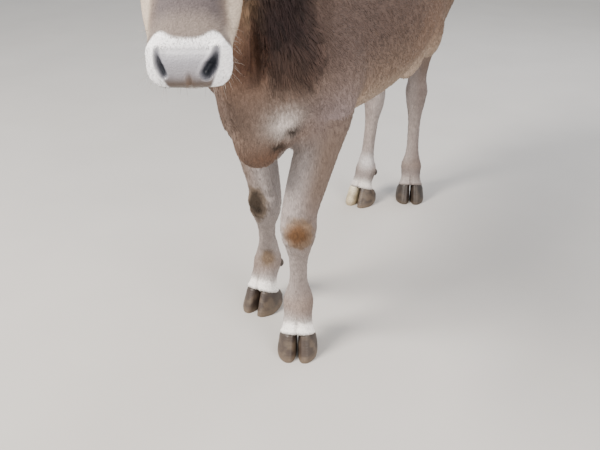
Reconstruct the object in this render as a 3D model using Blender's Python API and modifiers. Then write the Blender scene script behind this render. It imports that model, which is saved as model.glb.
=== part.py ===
"""A young Alatau, the brown mountain cattle, as a still life-size model standing on the floor.

Metres, +Z up. The animal faces -Y, its left side is +X, and its four feet stand on z = 0.
The flesh is modelled whole, fused, and parted into its named pieces with thin cuts.
"""

import math

import bmesh
import bpy
import numpy as np
from mathutils import Matrix, Vector

# Driving dimensions
WITHERS = 1.08  # height of the back over the forelegs
KNEE = 0.325  # height of the knee's middle
HOCK = 0.388  # height of the hock's middle
FORE_FETLOCK = 0.130  # height of the fetlock's middle
HIND_FETLOCK = 0.117
CORONET = 0.067  # height of the hair line over the front of a hoof
HEEL = 0.034  # height of the horn at the back of a hoof
HOOF_WIDTH = 0.098
MUZZLE = Vector((0.173, -0.999, 0.838))  # middle of the nose pad
HEAD_LENGTH = 0.402  # poll to nose pad
HEAD_YAW = math.radians(29)  # to the animal's left
HEAD_PITCH = math.radians(33)  # nose down
EYE_RADIUS = 0.0190
EAR_LENGTH = 0.158
EAR_WIDTH = 0.088
EAR_WALL = 0.0055
HORN_LENGTH = 0.068
TAIL_TIP = 0.53  # height of the end of the tail's dock
SWITCH_TIP = 0.40  # height that the tail's hair hangs to
GAP = 0.0003  # between pieces that part at a plane
FIT_GAP = 0.0006  # between a piece and the curved face that it stands on
VOXEL = 0.0055  # grid that fuses the flesh

BODY_TRIANGLES = 5200
HEAD_TRIANGLES = 3100

# The head's own frame: along the nose, up out of the forehead, and to the left
NOSE = Vector(
    (
        math.sin(HEAD_YAW) * math.cos(HEAD_PITCH),
        -math.cos(HEAD_YAW) * math.cos(HEAD_PITCH),
        -math.sin(HEAD_PITCH),
    )
)
LEFT = Vector((math.cos(HEAD_YAW), math.sin(HEAD_YAW), 0))
BROW = NOSE.cross(LEFT)
NOSE_PAD_DROP = 0.025  # the nose pad's middle lies this far under the poll's axis
POLL = MUZZLE - NOSE * HEAD_LENGTH + BROW * NOSE_PAD_DROP


def head_point(along, up, left=0.0):
    return POLL + NOSE * along + BROW * up + LEFT * left


def head_coordinates(points):
    """Columns along the nose, up and left of the points in the head's frame."""
    return (points - np.array(POLL)) @ np.array([NOSE, BROW, LEFT]).T


# Shape helpers


def clear_scene():
    for obj in list(bpy.data.objects):
        bpy.data.objects.remove(obj, do_unlink=True)


def collection_named(name):
    group = bpy.data.collections.new(name)
    bpy.context.scene.collection.children.link(group)
    return group


def eased(rows, count):
    """A smooth run of rows through the given ones."""
    rows = np.array(rows, float)
    at = np.linspace(0, len(rows) - 1, count)
    k = np.minimum(at.astype(int), len(rows) - 2)
    f = (at - k)[:, None]
    ends = np.vstack([2 * rows[0] - rows[1], rows, 2 * rows[-1] - rows[-2]])
    a, b, c, d = (ends[k + i] for i in range(4))
    curve = 2 * b + (c - a) * f + (2 * a - 5 * b + 4 * c - d) * f**2
    return 0.5 * (curve + (3 * b - a - 3 * c + d) * f**3)


def new_object(name, mesh, group):
    obj = bpy.data.objects.new(name, mesh)
    group.objects.link(obj)
    return obj


def mesh_of(bm, name):
    bmesh.ops.recalc_face_normals(bm, faces=bm.faces)
    mesh = bpy.data.meshes.new(name)
    bm.to_mesh(mesh)
    bm.free()
    return mesh


def loft(name, rows, group, side=(1, 0, 0), rings=26, around=28, boxy=2.0, headings=None):
    """A closed body through rows of centre x, y, z, half width, rise and drop.

    The rise points along the path's direction crossed with side. boxy squares the outline, for
    the whole body or row by row, and headings turn the rows' sides about the vertical.
    """
    count = len(rows)
    squareness = np.broadcast_to(boxy, count)
    turns = np.zeros(count) if headings is None else headings
    rows = eased(np.column_stack([np.array(rows, float), squareness, turns]), rings)
    centres = rows[:, :3]
    ahead = np.gradient(centres, axis=0)
    turn_cos, turn_sin = np.cos(rows[:, 7]), np.sin(rows[:, 7])
    x, y, z = side
    sides = np.column_stack([x * turn_cos - y * turn_sin, x * turn_sin + y * turn_cos, np.full(rings, z)])
    rise_way = np.cross(ahead, sides)
    rise_way /= np.linalg.norm(rise_way, axis=1)[:, None]
    side_way = np.cross(rise_way, ahead)
    side_way /= np.linalg.norm(side_way, axis=1)[:, None]
    angle = np.linspace(0, 2 * math.pi, around, endpoint=False)
    bm = bmesh.new()
    loops = []
    for centre, side_dir, rise_dir, row in zip(centres, side_way, rise_way, rows):
        across = np.sign(np.cos(angle)) * np.abs(np.cos(angle)) ** (2 / row[6])
        over = np.sign(np.sin(angle)) * np.abs(np.sin(angle)) ** (2 / row[6])
        reach = np.where(over > 0, row[4], row[5]) * over
        points = centre + np.outer(across * row[3], side_dir) + np.outer(reach, rise_dir)
        loops.append([bm.verts.new(p) for p in points])
    for near, far in zip(loops, loops[1:]):
        for i in range(around):
            j = (i + 1) % around
            bm.faces.new((near[i], near[j], far[j], far[i]))
    bm.faces.new(loops[0])
    bm.faces.new(loops[-1])
    return new_object(name, mesh_of(bm, name), group)


def blob(name, centre, radii, group, tilt=0.0, axes=None):
    """An ellipsoid, tilted about X or set along three given axes."""
    bm = bmesh.new()
    bmesh.ops.create_uvsphere(bm, u_segments=20, v_segments=14, radius=1)
    turn = Matrix(axes).transposed().to_4x4() if axes else Matrix.Rotation(tilt, 4, "X")
    bm.transform(Matrix.Translation(centre) @ turn @ Matrix.Diagonal((*radii, 1)))
    return new_object(name, mesh_of(bm, name), group)


def head_blob(name, along, up, left, radii, group):
    return blob(name, head_point(along, up, left), radii, group, axes=(NOSE, BROW, LEFT))


def baked(obj):
    """The object's mesh with its modifiers applied."""
    graph = bpy.context.evaluated_depsgraph_get()
    graph.update()
    mesh = bpy.data.meshes.new_from_object(obj.evaluated_get(graph))
    obj.modifiers.clear()
    obj.data = mesh
    return obj


def joined_mesh(objects, name):
    bm = bmesh.new()
    for obj in objects:
        bm.from_mesh(obj.data)
    mesh = bpy.data.meshes.new(name)
    bm.to_mesh(mesh)
    bm.free()
    return mesh


def vertex_array(mesh):
    points = np.empty(len(mesh.vertices) * 3, np.float32)
    mesh.vertices.foreach_get("co", points)
    return points.reshape(-1, 3).astype(float)


def normal_array(mesh):
    normals = np.empty(len(mesh.vertices) * 3, np.float32)
    mesh.vertex_normals.foreach_get("vector", normals)
    return normals.reshape(-1, 3).astype(float)


def set_vertices(mesh, points):
    mesh.vertices.foreach_set("co", points.astype(np.float32).ravel())
    mesh.update()


def eased_step(values, low, high):
    """0 below low, 1 above high, and a smooth rise between."""
    t = np.clip((values - low) / (high - low), 0, 1)
    return t * t * (3 - 2 * t)


def relax(mesh, share, rounds):
    """Draws each point towards the middle of its neighbours, by its share."""
    edges = np.empty(len(mesh.edges) * 2, np.int32)
    mesh.edges.foreach_get("vertices", edges)
    near, far = edges.reshape(-1, 2).T
    points = vertex_array(mesh)
    size = len(points)
    neighbours = np.bincount(near, minlength=size) + np.bincount(far, minlength=size)
    for _ in range(rounds):
        for axis in range(3):
            column = points[:, axis]
            total = np.bincount(near, column[far], size) + np.bincount(far, column[near], size)
            points[:, axis] = column + 0.5 * share * (total / neighbours - column)
    set_vertices(mesh, points)


# Torso, neck and tail


def trunk(group):
    """Rows of y, top, widest height, bottom and half width, from the buttocks to the breast."""
    rows = (
        (0.592, 0.955, 0.880, 0.790, 0.050),
        (0.545, 1.032, 0.880, 0.690, 0.112),
        (0.450, 1.076, 0.850, 0.602, 0.150),
        (0.290, WITHERS + 0.010, 0.805, 0.546, 0.174),
        (0.150, WITHERS - 0.008, 0.768, 0.526, 0.192),
        (0.000, WITHERS - 0.022, 0.755, 0.516, 0.206),
        (-0.140, WITHERS - 0.024, 0.758, 0.517, 0.201),
        (-0.270, WITHERS - 0.010, 0.772, 0.520, 0.179),
        (-0.380, WITHERS + 0.002, 0.798, 0.518, 0.154),
        (-0.480, 1.048, 0.815, 0.512, 0.132),
        (-0.560, 0.980, 0.810, 0.576, 0.102),
        (-0.608, 0.905, 0.800, 0.670, 0.052),
    )
    path = [(0, y, wide, half, top - wide, wide - low) for y, top, wide, low, half in rows]
    squareness = (2.0, 2.1, 2.1, 2.15, 2.15, 2.15, 2.15, 2.1, 2.0, 1.9, 1.85, 1.9)
    return loft("trunk", path, group, rings=46, around=44, boxy=squareness)


def muscles(side, group):
    """Muscle and bone that stand out on one side of the body: name, centre, radii, tilt."""
    shapes = (
        ("blade", (0.096, -0.390, 0.855), (0.050, 0.115, 0.182), -0.32),
        ("blade_spine", (0.122, -0.405, 0.840), (0.030, 0.022, 0.150), -0.32),
        ("shoulder", (0.107, -0.474, 0.730), (0.048, 0.080, 0.110), 0.25),
        ("breast", (0.048, -0.498, 0.640), (0.046, 0.072, 0.110), 0.30),
        ("triceps", (0.124, -0.375, 0.690), (0.052, 0.095, 0.105), 0.55),
        ("haunch", (0.098, 0.400, 0.850), (0.076, 0.160, 0.200), 0.15),
        ("buttock", (0.078, 0.515, 0.770), (0.060, 0.082, 0.200), -0.05),
        ("stifle", (0.120, 0.300, 0.660), (0.052, 0.080, 0.110), 0.35),
        ("flank_fold", (0.112, 0.205, 0.592), (0.030, 0.120, 0.056), 0.25),
        ("hook_bone", (0.130, 0.262, 0.985), (0.036, 0.052, 0.052), 0.0),
        ("pin_bone", (0.056, 0.548, 0.975), (0.034, 0.040, 0.048), 0.0),
    )
    made = []
    for name, centre, radii, tilt in shapes:
        place = (centre[0] * side, centre[1], centre[2])
        made.append(blob(name, place, radii, group, tilt))
    return made


def midline_forms(group):
    return [
        blob("brisket", (0, -0.480, 0.585), (0.058, 0.110, 0.094), group, 0.30),
        blob("tail_head", (0, 0.520, 1.034), (0.036, 0.085, 0.040), group, -0.25),
        blob("spine", (0, 0.100, WITHERS - 0.018), (0.022, 0.500, 0.018), group),
        blob("navel", (0, 0.030, 0.520), (0.014, 0.036, 0.018), group),
    ]


def neck(group):
    """The neck bends to the left and runs into the back of the head."""
    inside = head_point(0.055, -0.022)
    rows = (
        (0.000, -0.390, 0.835, 0.130, 0.205, 0.230),
        (0.000, -0.480, 0.860, 0.117, 0.186, 0.190),
        (0.000, -0.565, 0.908, 0.099, 0.157, 0.155),
        (0.006, -0.645, 0.972, 0.083, 0.128, 0.128),
        (0.018, -0.705, 1.030, 0.071, 0.096, 0.112),
        (*inside, 0.068, 0.078, 0.092),
    )
    return loft("neck", rows, group, rings=26, around=32)


def dewlap(group):
    """The loose fold from the throat down to the brisket."""
    rows = (
        (0.030, -0.755, 0.925, 0.014, 0.018, 0.050),
        (0.018, -0.705, 0.860, 0.017, 0.024, 0.052),
        (0.006, -0.650, 0.780, 0.020, 0.028, 0.056),
        (0.000, -0.612, 0.700, 0.027, 0.034, 0.062),
        (0.000, -0.575, 0.630, 0.038, 0.034, 0.060),
        (0.000, -0.535, 0.570, 0.046, 0.032, 0.052),
        (0.000, -0.485, 0.530, 0.050, 0.030, 0.040),
    )
    return loft("dewlap", rows, group, rings=22, around=18)


def tail_dock(group):
    rows = (
        (0.000, 0.515, 1.036, 0.030, 0.028, 0.030),
        (0.000, 0.570, 1.034, 0.029, 0.028, 0.030),
        (0.000, 0.608, 1.000, 0.026, 0.024, 0.025),
        (-0.004, 0.624, 0.920, 0.021, 0.020, 0.020),
        (-0.012, 0.633, 0.790, 0.0165, 0.0165, 0.0165),
        (-0.022, 0.639, 0.660, 0.0135, 0.0135, 0.0135),
        (-0.030, 0.642, TAIL_TIP, 0.0110, 0.0110, 0.0110),
    )
    return loft("tail_dock", rows, group, rings=16, around=9)


# Legs


# Fetlock x and y, the heading of the foot, and knee or hock x and y, for each leg
LEGS = {
    "foreleg_left": (1, (0.058, -0.438), math.radians(22), (0.066, -0.454)),
    "foreleg_right": (-1, (-0.100, -0.298), math.radians(-2), (-0.072, -0.356)),
    "hindleg_left": (1, (0.040, 0.530), math.radians(20), (0.034, 0.545)),
    "hindleg_right": (-1, (-0.095, 0.433), math.radians(-5), (-0.082, 0.446)),
}


def ahead_of(fetlock, heading, by):
    return (fetlock[0] + by * math.sin(heading), fetlock[1] - by * math.cos(heading))


def foot_rows(fetlock, heading, height, slim):
    """From above the fetlock down into the hoof, a little slimmer for a hind foot."""
    shapes = (
        (0.000, height + 0.034, 0.0295, 0.025, 0.035),
        (0.002, height, 0.0395, 0.031, 0.039),
        (0.018, height - 0.034, 0.0365, 0.031, 0.033),
        (0.027, CORONET + 0.006, 0.0405, 0.033, 0.036),
        (0.034, CORONET - 0.040, 0.0420, 0.038, 0.040),
    )
    rows = []
    for ahead, z, half, front, back in shapes:
        rows.append((*ahead_of(fetlock, heading, ahead), z, half * slim, front * slim, back * slim))
    return rows


def mixed(start, end, share):
    return (start[0] * (1 - share) + end[0] * share, start[1] * (1 - share) + end[1] * share)


def foreleg(side, fetlock, heading, knee, group):
    """One foreleg from inside the shoulder to inside the hooves."""
    elbow = (side * 0.108, -0.385)
    rows = [
        (side * 0.108, -0.430, 0.800, 0.040, 0.090, 0.085),
        (side * 0.116, -0.405, 0.700, 0.054, 0.100, 0.086),
        (*mixed(elbow, knee, 0.02), 0.610, 0.057, 0.072, 0.076),
        (*mixed(elbow, knee, 0.35), 0.530, 0.052, 0.054, 0.062),
        (*mixed(elbow, knee, 0.70), 0.445, 0.0475, 0.044, 0.046),
        (*mixed(elbow, knee, 0.96), KNEE + 0.052, 0.0435, 0.037, 0.037),
        (*knee, KNEE, 0.0445, 0.039, 0.035),
        (*mixed(knee, fetlock, 0.15), KNEE - 0.036, 0.0350, 0.031, 0.032),
        (*mixed(knee, fetlock, 0.38), KNEE - 0.072, 0.0255, 0.0235, 0.030),
        (*mixed(knee, fetlock, 0.70), FORE_FETLOCK + 0.070, 0.0240, 0.0215, 0.030),
        *foot_rows(fetlock, heading, FORE_FETLOCK, 1.0),
    ]
    headings = [0, 0, 0, 0.3 * heading, 0.7 * heading] + [heading] * 10
    return loft("foreleg", rows, group, rings=64, around=26, boxy=2.1, headings=headings)


def hindleg(side, fetlock, heading, hock, group):
    """One hind leg from inside the haunch to inside the hooves."""
    stifle = (side * 0.112, 0.340)
    rows = [
        (side * 0.090, 0.415, 0.880, 0.055, 0.120, 0.105),
        (side * 0.100, 0.410, 0.770, 0.076, 0.138, 0.118),
        (*mixed(stifle, hock, 0.30), 0.670, 0.062, 0.104, 0.104),
        (*mixed(stifle, hock, 0.62), 0.580, 0.050, 0.070, 0.076),
        (*mixed(stifle, hock, 0.88), 0.495, 0.038, 0.047, 0.056),
        (*mixed(stifle, hock, 1.00), HOCK + 0.045, 0.0335, 0.035, 0.045),
        (*hock, HOCK, 0.0385, 0.034, 0.041),
        (*hock, HOCK - 0.045, 0.0345, 0.032, 0.034),
        (*mixed(hock, fetlock, 0.30), HOCK - 0.100, 0.0250, 0.024, 0.029),
        (*mixed(hock, fetlock, 0.70), HIND_FETLOCK + 0.080, 0.0230, 0.0225, 0.028),
        *foot_rows(fetlock, heading, HIND_FETLOCK, 0.96),
    ]
    headings = [0, 0, 0, 0.3 * heading, 0.7 * heading] + [heading] * 10
    return loft("hindleg", rows, group, rings=64, around=26, boxy=2.1, headings=headings)


def hock_point(side, heading, hock, group):
    """The heel bone behind the hock and the tendon that runs up from it."""
    bone = ahead_of(hock, heading, -0.040)
    top = (side * 0.095, 0.515)
    foot = ahead_of(hock, heading, -0.026)
    rows = (
        (*mixed(bone, top, 0.75), 0.600, 0.020, 0.030, 0.020),
        (*mixed(bone, top, 0.38), 0.520, 0.0125, 0.020, 0.014),
        (*bone, HOCK + 0.065, 0.0130, 0.020, 0.014),
        (*bone, HOCK + 0.028, 0.0165, 0.026, 0.017),
        (*foot, HOCK - 0.030, 0.0150, 0.024, 0.014),
    )
    return loft("hock_point", rows, group, rings=24, around=14, headings=[heading] * 5)


# Head


def skull_and_muzzle(group):
    """Rows along the nose: place, top, widest height, bottom, half width."""
    rows = (
        (-0.030, 0.048, 0.000, -0.065, 0.054, 2.2),
        (0.000, 0.064, 0.010, -0.080, 0.064, 2.2),
        (0.045, 0.071, 0.014, -0.098, 0.079, 2.3),
        (0.095, 0.066, 0.010, -0.106, 0.0880, 2.4),
        (0.140, 0.057, 0.000, -0.103, 0.0860, 2.4),
        (0.190, 0.046, -0.014, -0.092, 0.0790, 2.3),
        (0.240, 0.037, -0.030, -0.082, 0.0740, 2.1),
        (0.290, 0.030, -0.038, -0.070, 0.0680, 2.0),
        (0.330, 0.025, -0.034, -0.064, 0.0590, 2.3),
        (0.354, 0.018, -0.031, -0.062, 0.0565, 2.7),
        (0.374, 0.007, -0.033, -0.061, 0.0575, 2.9),
        (0.390, -0.009, -0.037, -0.059, 0.0560, 2.9),
        (HEAD_LENGTH - 0.001, -0.025, -0.040, -0.0545, 0.0505, 2.8),
        (HEAD_LENGTH + 0.006, -0.035, -0.043, -0.0500, 0.0420, 2.6),
    )
    path = []
    for along, top, wide, low, half, _ in rows:
        path.append((*head_point(along, wide), half, top - wide, wide - low))
    squareness = [row[5] for row in rows]
    return loft("skull", path, group, side=LEFT, rings=52, around=36, boxy=squareness)


def lower_jaw(group):
    rows = (
        (0.045, -0.045, -0.078, -0.126, 0.050),
        (0.100, -0.045, -0.088, -0.134, 0.064),
        (0.170, -0.045, -0.086, -0.122, 0.067),
        (0.240, -0.045, -0.080, -0.108, 0.068),
        (0.300, -0.045, -0.075, -0.100, 0.057),
        (0.340, -0.046, -0.073, -0.099, 0.046),
        (0.362, -0.050, -0.071, -0.093, 0.039),
        (0.378, -0.056, -0.069, -0.082, 0.030),
    )
    path = []
    for along, top, wide, low, half in rows:
        path.append((*head_point(along, wide), half, top - wide, wide - low))
    return loft("jaw", path, group, side=LEFT, rings=34, around=26, boxy=2.1)


def head_forms(group):
    made = [skull_and_muzzle(group), lower_jaw(group)]
    made.append(head_blob("poll", 0.000, 0.046, 0, (0.034, 0.026, 0.048), group))
    made.append(head_blob("chin", 0.342, -0.086, 0, (0.030, 0.017, 0.030), group))
    for side in (-1, 1):
        pairs = (
            ("cheek", 0.100, -0.062, 0.054, (0.072, 0.056, 0.030)),
            ("brow_bone", 0.118, 0.040, 0.064, (0.036, 0.016, 0.023)),
            ("cheek_bone", 0.178, -0.016, 0.066, (0.052, 0.013, 0.013)),
            ("nostril_wing", 0.374, -0.014, 0.039, (0.018, 0.022, 0.018)),
            ("upper_lip", 0.368, -0.044, 0.037, (0.030, 0.016, 0.019)),
            ("ear_root", 0.026, 0.020, 0.072, (0.024, 0.026, 0.022)),
            ("horn_root", -0.004, 0.048, 0.046, (0.020, 0.018, 0.020)),
        )
        for name, along, up, left, radii in pairs:
            made.append(head_blob(name, along, up, left * side, radii, group))
    return made


def distance_to_line(points, line):
    """Distance of each point to a line through the given corners, and how far along it is, 0 to 1."""
    best = np.full(len(points), 1e9)
    share = np.zeros(len(points))
    corners = np.array(line, float)
    for k in range(len(corners) - 1):
        step = corners[k + 1] - corners[k]
        t = np.clip((points - corners[k]) @ step / (step @ step), 0, 1)
        away = np.linalg.norm(points - corners[k] - t[:, None] * step, axis=1)
        nearer = away < best
        best[nearer] = away[nearer]
        share[nearer] = (k + t[nearer]) / (len(corners) - 1)
    return best, share


# Places on the left of the head, as along the nose, up and left. The right side mirrors them.
EYE = (0.138, 0.016, 0.0725)
LID_REACH = (0.0165, 0.0108)  # half the opening's length and height
NOSTRIL = (
    (0.382, 0.0000, 0.0375),
    (0.389, -0.0060, 0.0350),
    (0.396, -0.0130, 0.0310),
    (0.404, -0.0230, 0.0225),
)
# The line of the mouth seen from the side, as places along the nose and up, from its corner
MOUTH_ALONG = (0.285, 0.305, 0.340, 0.374, 0.400)
MOUTH_UP = (-0.0580, -0.0600, -0.0620, -0.0605, -0.0560)


def carve_head(mesh):
    """Presses in the nostrils, mouth and eye openings and raises the lids."""
    points = vertex_array(mesh)
    normals = normal_array(mesh)
    local = head_coordinates(points)
    local[:, 2] = np.abs(local[:, 2])
    push = np.zeros(len(points))

    away, share = distance_to_line(local, NOSTRIL)
    push -= (0.008 + 0.008 * share) * np.exp(-((away / (0.0042 + 0.0026 * share)) ** 2))
    push += 0.0016 * np.exp(-(((away - 0.0110) / 0.0035) ** 2))

    off_mouth = local[:, 1] - np.interp(local[:, 0], MOUTH_ALONG, MOUTH_UP)
    open_mouth = eased_step(local[:, 0], MOUTH_ALONG[0] - 0.010, MOUTH_ALONG[1])
    push -= 0.0055 * open_mouth * np.exp(-((off_mouth / 0.0034) ** 2))

    in_eye = np.hypot((local[:, 0] - EYE[0]) / LID_REACH[0], (local[:, 1] - EYE[1]) / LID_REACH[1])
    beside = local[:, 2] > EYE[2] - 0.012
    socket = np.linalg.norm(local - (EYE[0], EYE[1] + 0.002, EYE[2] + 0.012), axis=1)
    push -= 0.0045 * np.exp(-((socket / 0.024) ** 2))
    push += beside * 0.0036 * np.exp(-(((in_eye - 1.16) / 0.20) ** 2))
    push -= beside * 0.0090 * np.clip((1.0 - in_eye) / 0.25, 0, 1)

    philtrum, _ = distance_to_line(local, ((0.405, -0.018, 0.0), (0.405, -0.050, 0.0)))
    push -= 0.0018 * np.exp(-((philtrum / 0.0030) ** 2))
    set_vertices(mesh, points + normals * push[:, None])


# The whole flesh, fused


def fused(parts, name, group, voxel, smoothing):
    """The pieces as one surface, by a voxel remesh, with the grid's steps smoothed away."""
    body = new_object(name, joined_mesh(parts, name), group)
    for part in parts:
        bpy.data.objects.remove(part, do_unlink=True)
    remesh = body.modifiers.new("fuse", "REMESH")
    remesh.mode = "VOXEL"
    remesh.voxel_size = voxel
    smooth = body.modifiers.new("smooth", "SMOOTH")
    smooth.factor = 0.5
    smooth.iterations = smoothing
    return baked(body)


def whole_flesh(group):
    parts = [trunk(group), neck(group), dewlap(group), *midline_forms(group)]
    for side in (-1, 1):
        parts += muscles(side, group)
    for name, (side, fetlock, heading, bend) in LEGS.items():
        if name.startswith("fore"):
            parts.append(foreleg(side, fetlock, heading, bend, group))
        else:
            parts.append(hindleg(side, fetlock, heading, bend, group))
            parts.append(hock_point(side, heading, bend, group))
    parts += head_forms(group)
    body = fused(parts, "flesh", group, VOXEL, 8)
    points = vertex_array(body.data)
    local = head_coordinates(points)
    on_head = eased_step(local[:, 0], -0.03, 0.05) * eased_step(local[:, 1], -0.24, -0.15)
    above_legs = eased_step(points[:, 2], 0.50, 0.66)
    relax(body.data, (1 - on_head) * above_legs, 70)
    return body


def refine_head(flesh):
    """Splits the head's faces so that they can hold the lids and nostrils."""
    bm = bmesh.new()
    bm.from_mesh(flesh.data)
    on_head = [e for e in bm.edges if all((v.co - POLL).dot(NOSE) > 0.02 for v in e.verts)]
    bmesh.ops.subdivide_edges(bm, edges=on_head, cuts=1, use_grid_fill=True)
    bmesh.ops.triangulate(bm, faces=[f for f in bm.faces if len(f.verts) > 4])
    near = [v for v in bm.verts if (v.co - POLL).dot(NOSE) > 0.03]
    for _ in range(3):
        bmesh.ops.smooth_vert(bm, verts=near, factor=0.5, use_axis_x=True, use_axis_y=True, use_axis_z=True)
    bm.to_mesh(flesh.data)
    bm.free()
    flesh.data.update()


# Parting


def cut(mesh, point, normal):
    """Keeps what lies on the normal's side of a plane, and closes the cut."""
    bm = bmesh.new()
    bm.from_mesh(mesh)
    everything = bm.verts[:] + bm.edges[:] + bm.faces[:]
    done = bmesh.ops.bisect_plane(bm, geom=everything, plane_co=point, plane_no=normal, clear_inner=True)
    rim = [e for e in done["geom_cut"] if isinstance(e, bmesh.types.BMEdge)]
    bmesh.ops.holes_fill(bm, edges=rim)
    bmesh.ops.triangulate(bm, faces=[f for f in bm.faces if len(f.verts) > 4])
    bm.to_mesh(mesh)
    bm.free()
    return mesh


def largest_surface(mesh):
    """Drops every closed surface but the largest."""
    bm = bmesh.new()
    bm.from_mesh(mesh)
    bm.verts.ensure_lookup_table()
    seen, islands = set(), []
    for start in bm.verts:
        if start in seen:
            continue
        island, queue = [], [start]
        seen.add(start)
        while queue:
            vert = queue.pop()
            island.append(vert)
            for edge in vert.link_edges:
                other = edge.other_vert(vert)
                if other not in seen:
                    seen.add(other)
                    queue.append(other)
        islands.append(island)
    islands.sort(key=len)
    loose = [v for island in islands[:-1] for v in island]
    bmesh.ops.delete(bm, geom=loose, context="VERTS")
    bm.to_mesh(mesh)
    bm.free()
    return mesh


def largest_mesh(obj):
    largest_surface(obj.data)
    return obj


def reduced(obj, triangles):
    obj.data.calc_loop_triangles()
    share = triangles / len(obj.data.loop_triangles)
    decimate = obj.modifiers.new("reduce", "DECIMATE")
    decimate.ratio = min(1.0, share)
    return baked(obj)


def swollen(obj, name, group):
    """A copy whose every face stands out by the gap, to cut a neighbour with."""
    bm = bmesh.new()
    bm.from_mesh(obj.data)
    moves = []
    for vert in bm.verts:
        flattest = min(vert.normal.dot(face.normal) for face in vert.link_faces)
        moves.append(vert.normal * (FIT_GAP / max(flattest, 0.3)))
    for vert, move in zip(bm.verts, moves):
        vert.co += move
    mesh = bpy.data.meshes.new(name)
    bm.to_mesh(mesh)
    bm.free()
    copy = new_object(name, mesh, group)
    copy.hide_render = True
    copy.display_type = "WIRE"
    return copy


def boolean(obj, tool, operation, solver="EXACT"):
    """Joins or cuts with an object or, for a union of many, a collection."""
    step = obj.modifiers.new(operation.lower(), "BOOLEAN")
    step.operation = operation
    step.solver = solver
    if isinstance(tool, bpy.types.Collection):
        step.operand_type = "COLLECTION"
        step.collection = tool
    else:
        step.object = tool
    baked(obj)
    largest_surface(obj.data)
    return obj


def fitted(obj, host, helpers):
    """Cuts the object off where its host begins, a gap away.

    The swollen host crosses itself in its creases, which the exact solver can't cut with.
    """
    tool = swollen(host, "host_tool", helpers)
    boolean(obj, tool, "DIFFERENCE", "MANIFOLD")
    bpy.data.objects.remove(tool, do_unlink=True)
    return obj


def seated(obj, host, helpers):
    """Sinks a socket into the host for the object's root, a gap wider than it."""
    tool = swollen(obj, "socket_tool", helpers)
    boolean(host, tool, "DIFFERENCE")
    bpy.data.objects.remove(tool, do_unlink=True)
    return obj


def copy_of(obj, name, group):
    return new_object(name, obj.data.copy(), group)


def grown(corners, by):
    """A convex outline with every edge moved outwards."""
    middle = sum((Vector(c) for c in corners), Vector((0, 0))) / len(corners)
    lines = []
    for near, far in zip(corners, (*corners[1:], corners[0])):
        run = (Vector(far) - Vector(near)).normalized()
        out = Vector((run.y, -run.x))
        if (Vector(near) - middle).dot(out) < 0:
            out.negate()
        lines.append((out, out.dot(Vector(near)) + by))
    moved = []
    for (a, reach_a), (b, reach_b) in zip((lines[-1], *lines[:-1]), lines):
        scale = a.x * b.y - a.y * b.x
        moved.append(((reach_a * b.y - reach_b * a.y) / scale, (a.x * reach_b - b.x * reach_a) / scale))
    return moved


def prism(name, corners, place, low, high, group):
    """A cutter over a convex outline. place turns outline across, outline up and depth to a point."""
    bm = bmesh.new()
    ends = [[bm.verts.new(place(a, b, depth)) for a, b in corners] for depth in (low, high)]
    for i in range(len(corners)):
        j = (i + 1) % len(corners)
        bm.faces.new((ends[0][i], ends[0][j], ends[1][j], ends[1][i]))
    bm.faces.new(ends[0])
    bm.faces.new(ends[1])
    tool = new_object(name, mesh_of(bm, name), group)
    tool.hide_render = True
    tool.display_type = "WIRE"
    return tool


def across_body(x, z, y):
    return (x, y, z)


def beside_head(along, up, left):
    return head_point(along, up, left)


UNDER_FLOOR = -0.2
OUTSIDE = 0.5  # past the widest point of the body
LOWER_LEG_SEAM = 0.052  # under the middle of the knee or hock


def leg_seam(side, inner, outer_z, front, back):
    corners = [(x, z) for x, z in inner] + [(side * 0.240, outer_z), (side * OUTSIDE, outer_z)]
    return [(inner[0][0], UNDER_FLOOR), *corners, (side * OUTSIDE, UNDER_FLOOR)], (front, back)


# Where each leg leaves the torso: outline of x and z, inmost first, then front y and back y
LEG_SEAMS = {
    "foreleg_left": leg_seam(1, ((0.012, 0.480), (0.060, 0.555)), 0.700, -0.560, -0.268),
    "foreleg_right": leg_seam(-1, ((-0.012, 0.480), (-0.060, 0.555)), 0.700, -0.560, -0.268),
    "hindleg_left": leg_seam(1, ((-0.018, 0.500), (0.012, 0.590)), 0.850, 0.232, 0.800),
    "hindleg_right": leg_seam(-1, ((-0.026, 0.594),), 0.850, 0.232, 0.800),
}
# The head ends behind the poll and the angle of the jaw: outline along the nose and up
HEAD_SEAM = (
    (-0.149, 0.200),
    (0.075, -0.150),
    (0.140, -0.172),
    (0.600, -0.172),
    (0.600, 0.350),
    (-0.149, 0.350),
)
HEAD_REACH = 0.35
SPARE = 0.02  # flesh kept past a seam until its faces are reduced


def kept(obj, outline, place, low, high, operation, helpers):
    tool = prism("seam_tool", outline, place, low, high, helpers)
    boolean(obj, tool, operation)
    bpy.data.objects.remove(tool, do_unlink=True)
    return obj


def coronet_plane(fetlock, heading, clearance):
    """The sloping plane between skin and horn, and its upward normal."""
    slope = (CORONET - HEEL) / 0.070
    normal = Vector((-slope * math.sin(heading), slope * math.cos(heading), 1)).normalized()
    front = Vector((*ahead_of(fetlock, heading, 0.060), CORONET))
    return front + normal * clearance, normal


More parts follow.
